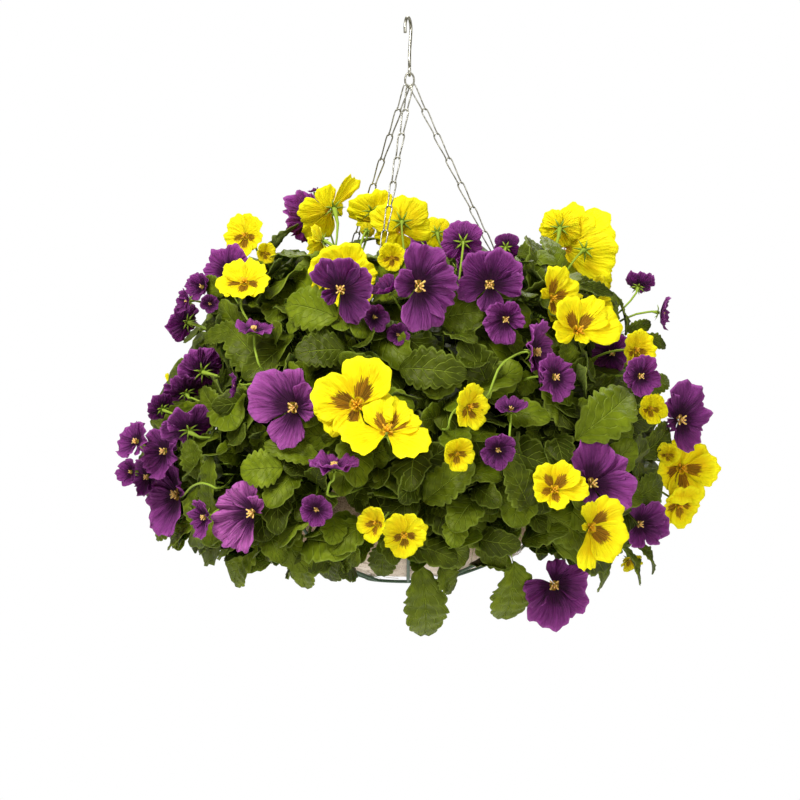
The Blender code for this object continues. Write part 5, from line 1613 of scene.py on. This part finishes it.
def lay_leaf(pattern, base, tip, width, outward, anchor, draw):
    """Bend a copy of a leaf between a base and a tip, and its stalk back to an anchor."""
    leaf = copy_of(pattern)
    shape = corners(leaf)
    along = tip - base
    length = along.length
    along /= length
    normal = (outward - along * outward.dot(along)).normalized()
    across = along.cross(normal)
    share = shape[:, 1]
    blade = np.clip(share, 0, 1)
    arch = draw.uniform(*LEAF_ARCH) * blade * (1 - blade) - draw.uniform(*LEAF_DROOP) * blade ** 2
    twist = draw.uniform(*LEAF_TWIST) * blade
    wave = LEAF_WAVE * np.sin(blade * draw.uniform(7, 13) + draw.uniform(0, math.tau))
    wave = wave * np.sign(shape[:, 0])
    sideways = shape[:, 0] * width / 2
    lift = (shape[:, 2] + arch + wave * shape[:, 0] ** 2) * length
    sideways, lift = (sideways * np.cos(twist) - (lift - arch * length) * np.sin(twist),
                      sideways * np.sin(twist) + (lift - arch * length) * np.cos(twist) + arch * length)
    bow = draw.uniform(*LEAF_BOW) * length * blade * (1 - blade)
    places = (np.array(base) + np.outer(blade * length, along) + np.outer(sideways + bow, across)
              + np.outer(lift, normal))
    stalk = np.clip(-share / STALK_SHARE, 0, 1)
    path = np.outer(stalk, np.array(anchor) - np.array(base))
    path += np.outer(-0.25 * stalk * (1 - stalk) * length, along)
    move_corners(leaf, places + path)
    note(leaf, "leaf_tone_and_light", np.full(len(shape), draw.random()))
    return leaf


to_bloom = np.array([np.array(place.inverted()) for _, _, _, place, _ in blooms])
bloom_radius = np.array([size * MM / 2 for _, _, size, _, _ in blooms])[:, None]
faces_viewer = np.array([name.split("_")[2].isdigit() for name, _, _, _, _ in blooms])[:, None]
viewer = (to_bloom @ np.array((*VIEW_POINT, 1.0)))[:, None, :3]


def hides_bloom(base, tip, outward, width):
    """Whether a leaf would stand in a bloom, or before one as seen from in front."""
    side = (tip - base).cross(outward).normalized() * width * 0.4
    spots = [base.lerp(tip, share) for share in (0.15, 0.4, 0.6, 0.8, 1.0)]
    spots += [base.lerp(tip, share) + side * way for share in (0.35, 0.7) for way in (-1, 1)]
    places = np.column_stack([np.array(spots), np.ones(len(spots))])
    near = np.einsum("bij,pj->bpi", to_bloom, places)[:, :, :3]
    flat = np.hypot(near[:, :, 0], near[:, :, 1]) / bloom_radius
    inside = (near[:, :, 2] > -ROOM_BEHIND) & (near[:, :, 2] < ROOM_BEFORE)
    inside &= flat < np.where(near[:, :, 2] < ROOM_CLOSE, 0.98, 0.8)
    line = near - viewer
    meets = -viewer[:, :, 2] / (line[:, :, 2] + 1e-9)
    spot = viewer + line * meets[:, :, None]
    before = (meets > LINE_LIMITS[0]) & (meets < LINE_LIMITS[1])
    before &= np.hypot(spot[:, :, 0], spot[:, :, 1]) < bloom_radius * 0.85
    closest = -(viewer * line).sum(axis=2) / (line * line).sum(axis=2)
    spot = viewer + line * closest[:, :, None]
    over = (closest > LINE_LIMITS[0]) & (closest < LINE_LIMITS[1])
    over &= np.sqrt((spot * spot).sum(axis=2)) < bloom_radius * 0.4
    return bool((inside | ((before | over) & faces_viewer)).any())


leaves = {}
placed = []
draw = random.Random(17)
for row in FRONT_LEAVES:
    base_across, base_height, tip_across, tip_height, width, base_back, tip_back, tone = row
    best = None
    seen_length = math.hypot(tip_across - base_across, tip_height - base_height)
    base_depth = front_depth(base_across, base_height) + base_back
    tip_depth = front_depth(tip_across, tip_height) + tip_back
    tip_depth = min(max(tip_depth, base_depth - 0.5 * seen_length), base_depth + 0.75 * seen_length)
    for shift in DEPTH_SHIFTS:
        base = seen_point(base_across, base_height, base_depth + shift)
        tip = seen_point(tip_across, tip_height, tip_depth + shift)
        gap = sum(plants_surface.find_nearest(base.lerp(tip, share))[3] for share in (0.5, 0.9, 1.0))
        if best is None or gap < best[0]:
            best = (gap, base, tip)
    _, base, tip = best
    outward = Vector((base.x * 0.6, base.y, 0.25 * abs(base.y) + 0.02)).normalized()
    anchor = heart_tree.find_nearest(base)[0]
    leaf = lay_leaf(fine_leaf, base, tip, width * MM, outward, anchor, draw)
    # The listed tone: in part the leaf's own, in part painted light
    note(leaf, "leaf_tone_and_light", np.full(len(leaf.data.vertices), tone))
    placed.append((base.lerp(tip, 0.5), surface([leaf])))
    leaves.setdefault(plant_of(base), []).append(leaf)


def grow_leaf(guess):
    """Try guesses of a base, a tip and an outward direction, and keep the leaf that cuts fewest others."""
    best = None
    for attempt in range(LEAF_TRIES):
        base, tip, outward = guess(attempt)
        length = (tip - base).length
        if length < SHORTEST_LEAF or tip.z < lowest(tip) or max(base.z, tip.z) > LEAF_TOP:
            continue
        if abs((tip - base).normalized().dot(outward)) > EDGE_ON:
            continue
        tilt = draw.uniform(*LEAF_TILT)
        outward = (outward + (tip - base).cross(outward).normalized() * tilt).normalized()
        width = length * draw.uniform(*LEAF_SHAPE)
        if hides_bloom(base, tip, outward, width):
            continue
        anchor = heart_tree.find_nearest(base)[0]
        leaf = lay_leaf(plain_leaf, base, tip, width, outward, anchor, draw)
        tree = surface([leaf])
        middle = base.lerp(tip, 0.5)
        cuts = sum(1 for place, other in placed
                   if (place - middle).length < LEAF_NEIGHBOURS and tree.overlap(other))
        if best is None or cuts < best[0]:
            if best:
                bpy.data.objects.remove(best[1])
            best = (cuts, leaf, tree, middle)
        else:
            bpy.data.objects.remove(leaf)
        if best[0] == 0:
            break
    if best:
        placed.append((best[3], best[2]))
        leaves.setdefault(plant_of(best[3]), []).append(best[1])


def side_leaf(azimuth, level, base_in, tip_in, spacing):
    """A guess for a leaf on the mound's side."""
    def guess(attempt):
        loose = FIRST_STRAY + 0.7 * attempt / LEAF_TRIES
        height = level + draw.uniform(-0.5, 0.5) * spacing * loose
        turn = azimuth + math.degrees(draw.uniform(-0.5, 0.5) * spacing * loose * 1.4 / USUAL_RADIUS)
        reach = table_value(MOUND_OUTLINE, height)
        base = polar(max(reach - base_in, 20) * MM, turn, height * MM)
        length = draw.uniform(*SIDE_LEAF_LENGTHS) * (1 - LATE_SHORTER * (attempt > LATE_TRY)) * MM
        slant = draw.uniform(-1.1, 0.8)
        slant += 0.4 * (level > UPPER_LEVEL) - 0.4 * (level < LOWER_LEVEL)
        way = polar(1.0, turn + draw.uniform(-80, 80), slant).normalized()
        tip = base + way * length
        flat = math.hypot(tip.x, tip.y)
        most = (table_value(MOUND_OUTLINE, tip.z / MM) - tip_in) * MM
        if flat > most:
            tip.x, tip.y = tip.x * most / flat, tip.y * most / flat
        up = draw.uniform(0.5, 1.1) if level > FACING_UP_LEVEL else draw.uniform(0.0, 0.8)
        return base, tip, polar(1.0, turn + draw.uniform(-28, 28), up).normalized()
    return guess


def top_leaf(radius, azimuth, level):
    """A guess for a leaf on the mound's top."""
    def guess(attempt):
        turn = azimuth + draw.uniform(-12, 12)
        base = polar((radius + draw.uniform(-14, 14)) * MM, turn, (level - 14 + draw.uniform(-8, 8)) * MM)
        length = draw.uniform(*TOP_LEAF_LENGTHS) * MM
        way = polar(1.0, turn + draw.uniform(-90, 90), draw.uniform(0.0, 0.6)).normalized()
        return base, base + way * length, polar(0.35, turn, 1.0).normalized()
    return guess


for base_in, tip_in, spacing in LEAF_LAYERS:
    level = LEAF_LEVELS[0]
    while level > LEAF_LEVELS[1]:
        around = max(int(math.tau * (table_value(MOUND_OUTLINE, level) - base_in / 2) / spacing), 6)
        first = draw.uniform(0, 360)
        for step in range(around):
            grow_leaf(side_leaf(first + 360 * step / around, level, base_in, tip_in, spacing))
        level -= spacing * 0.9
for radius, level, count in TOP_ROWS:
    for step in range(count):
        grow_leaf(top_leaf(radius, 360 * (step + draw.uniform(-0.3, 0.3)) / count, level))
for number, pieces in sorted(leaves.items()):
    complete(join(f"leaves_{number}", pieces), leaf_finish, "leaf", f"pansy_plant_{number}")
print("leaves:", len(placed))

# %% [markdown]
# ## Finishing
# The patterns were only models to copy from, so they go, and the triangles of the shown pieces are counted.

# %% Clear the patterns and finish
for pattern in (fine_leaf, plain_leaf, fine_bloom, plain_bloom):
    bpy.data.objects.remove(pattern)
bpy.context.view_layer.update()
triangles = sum(len(piece.data.loop_triangles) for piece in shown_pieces())
print("triangles:", triangles)
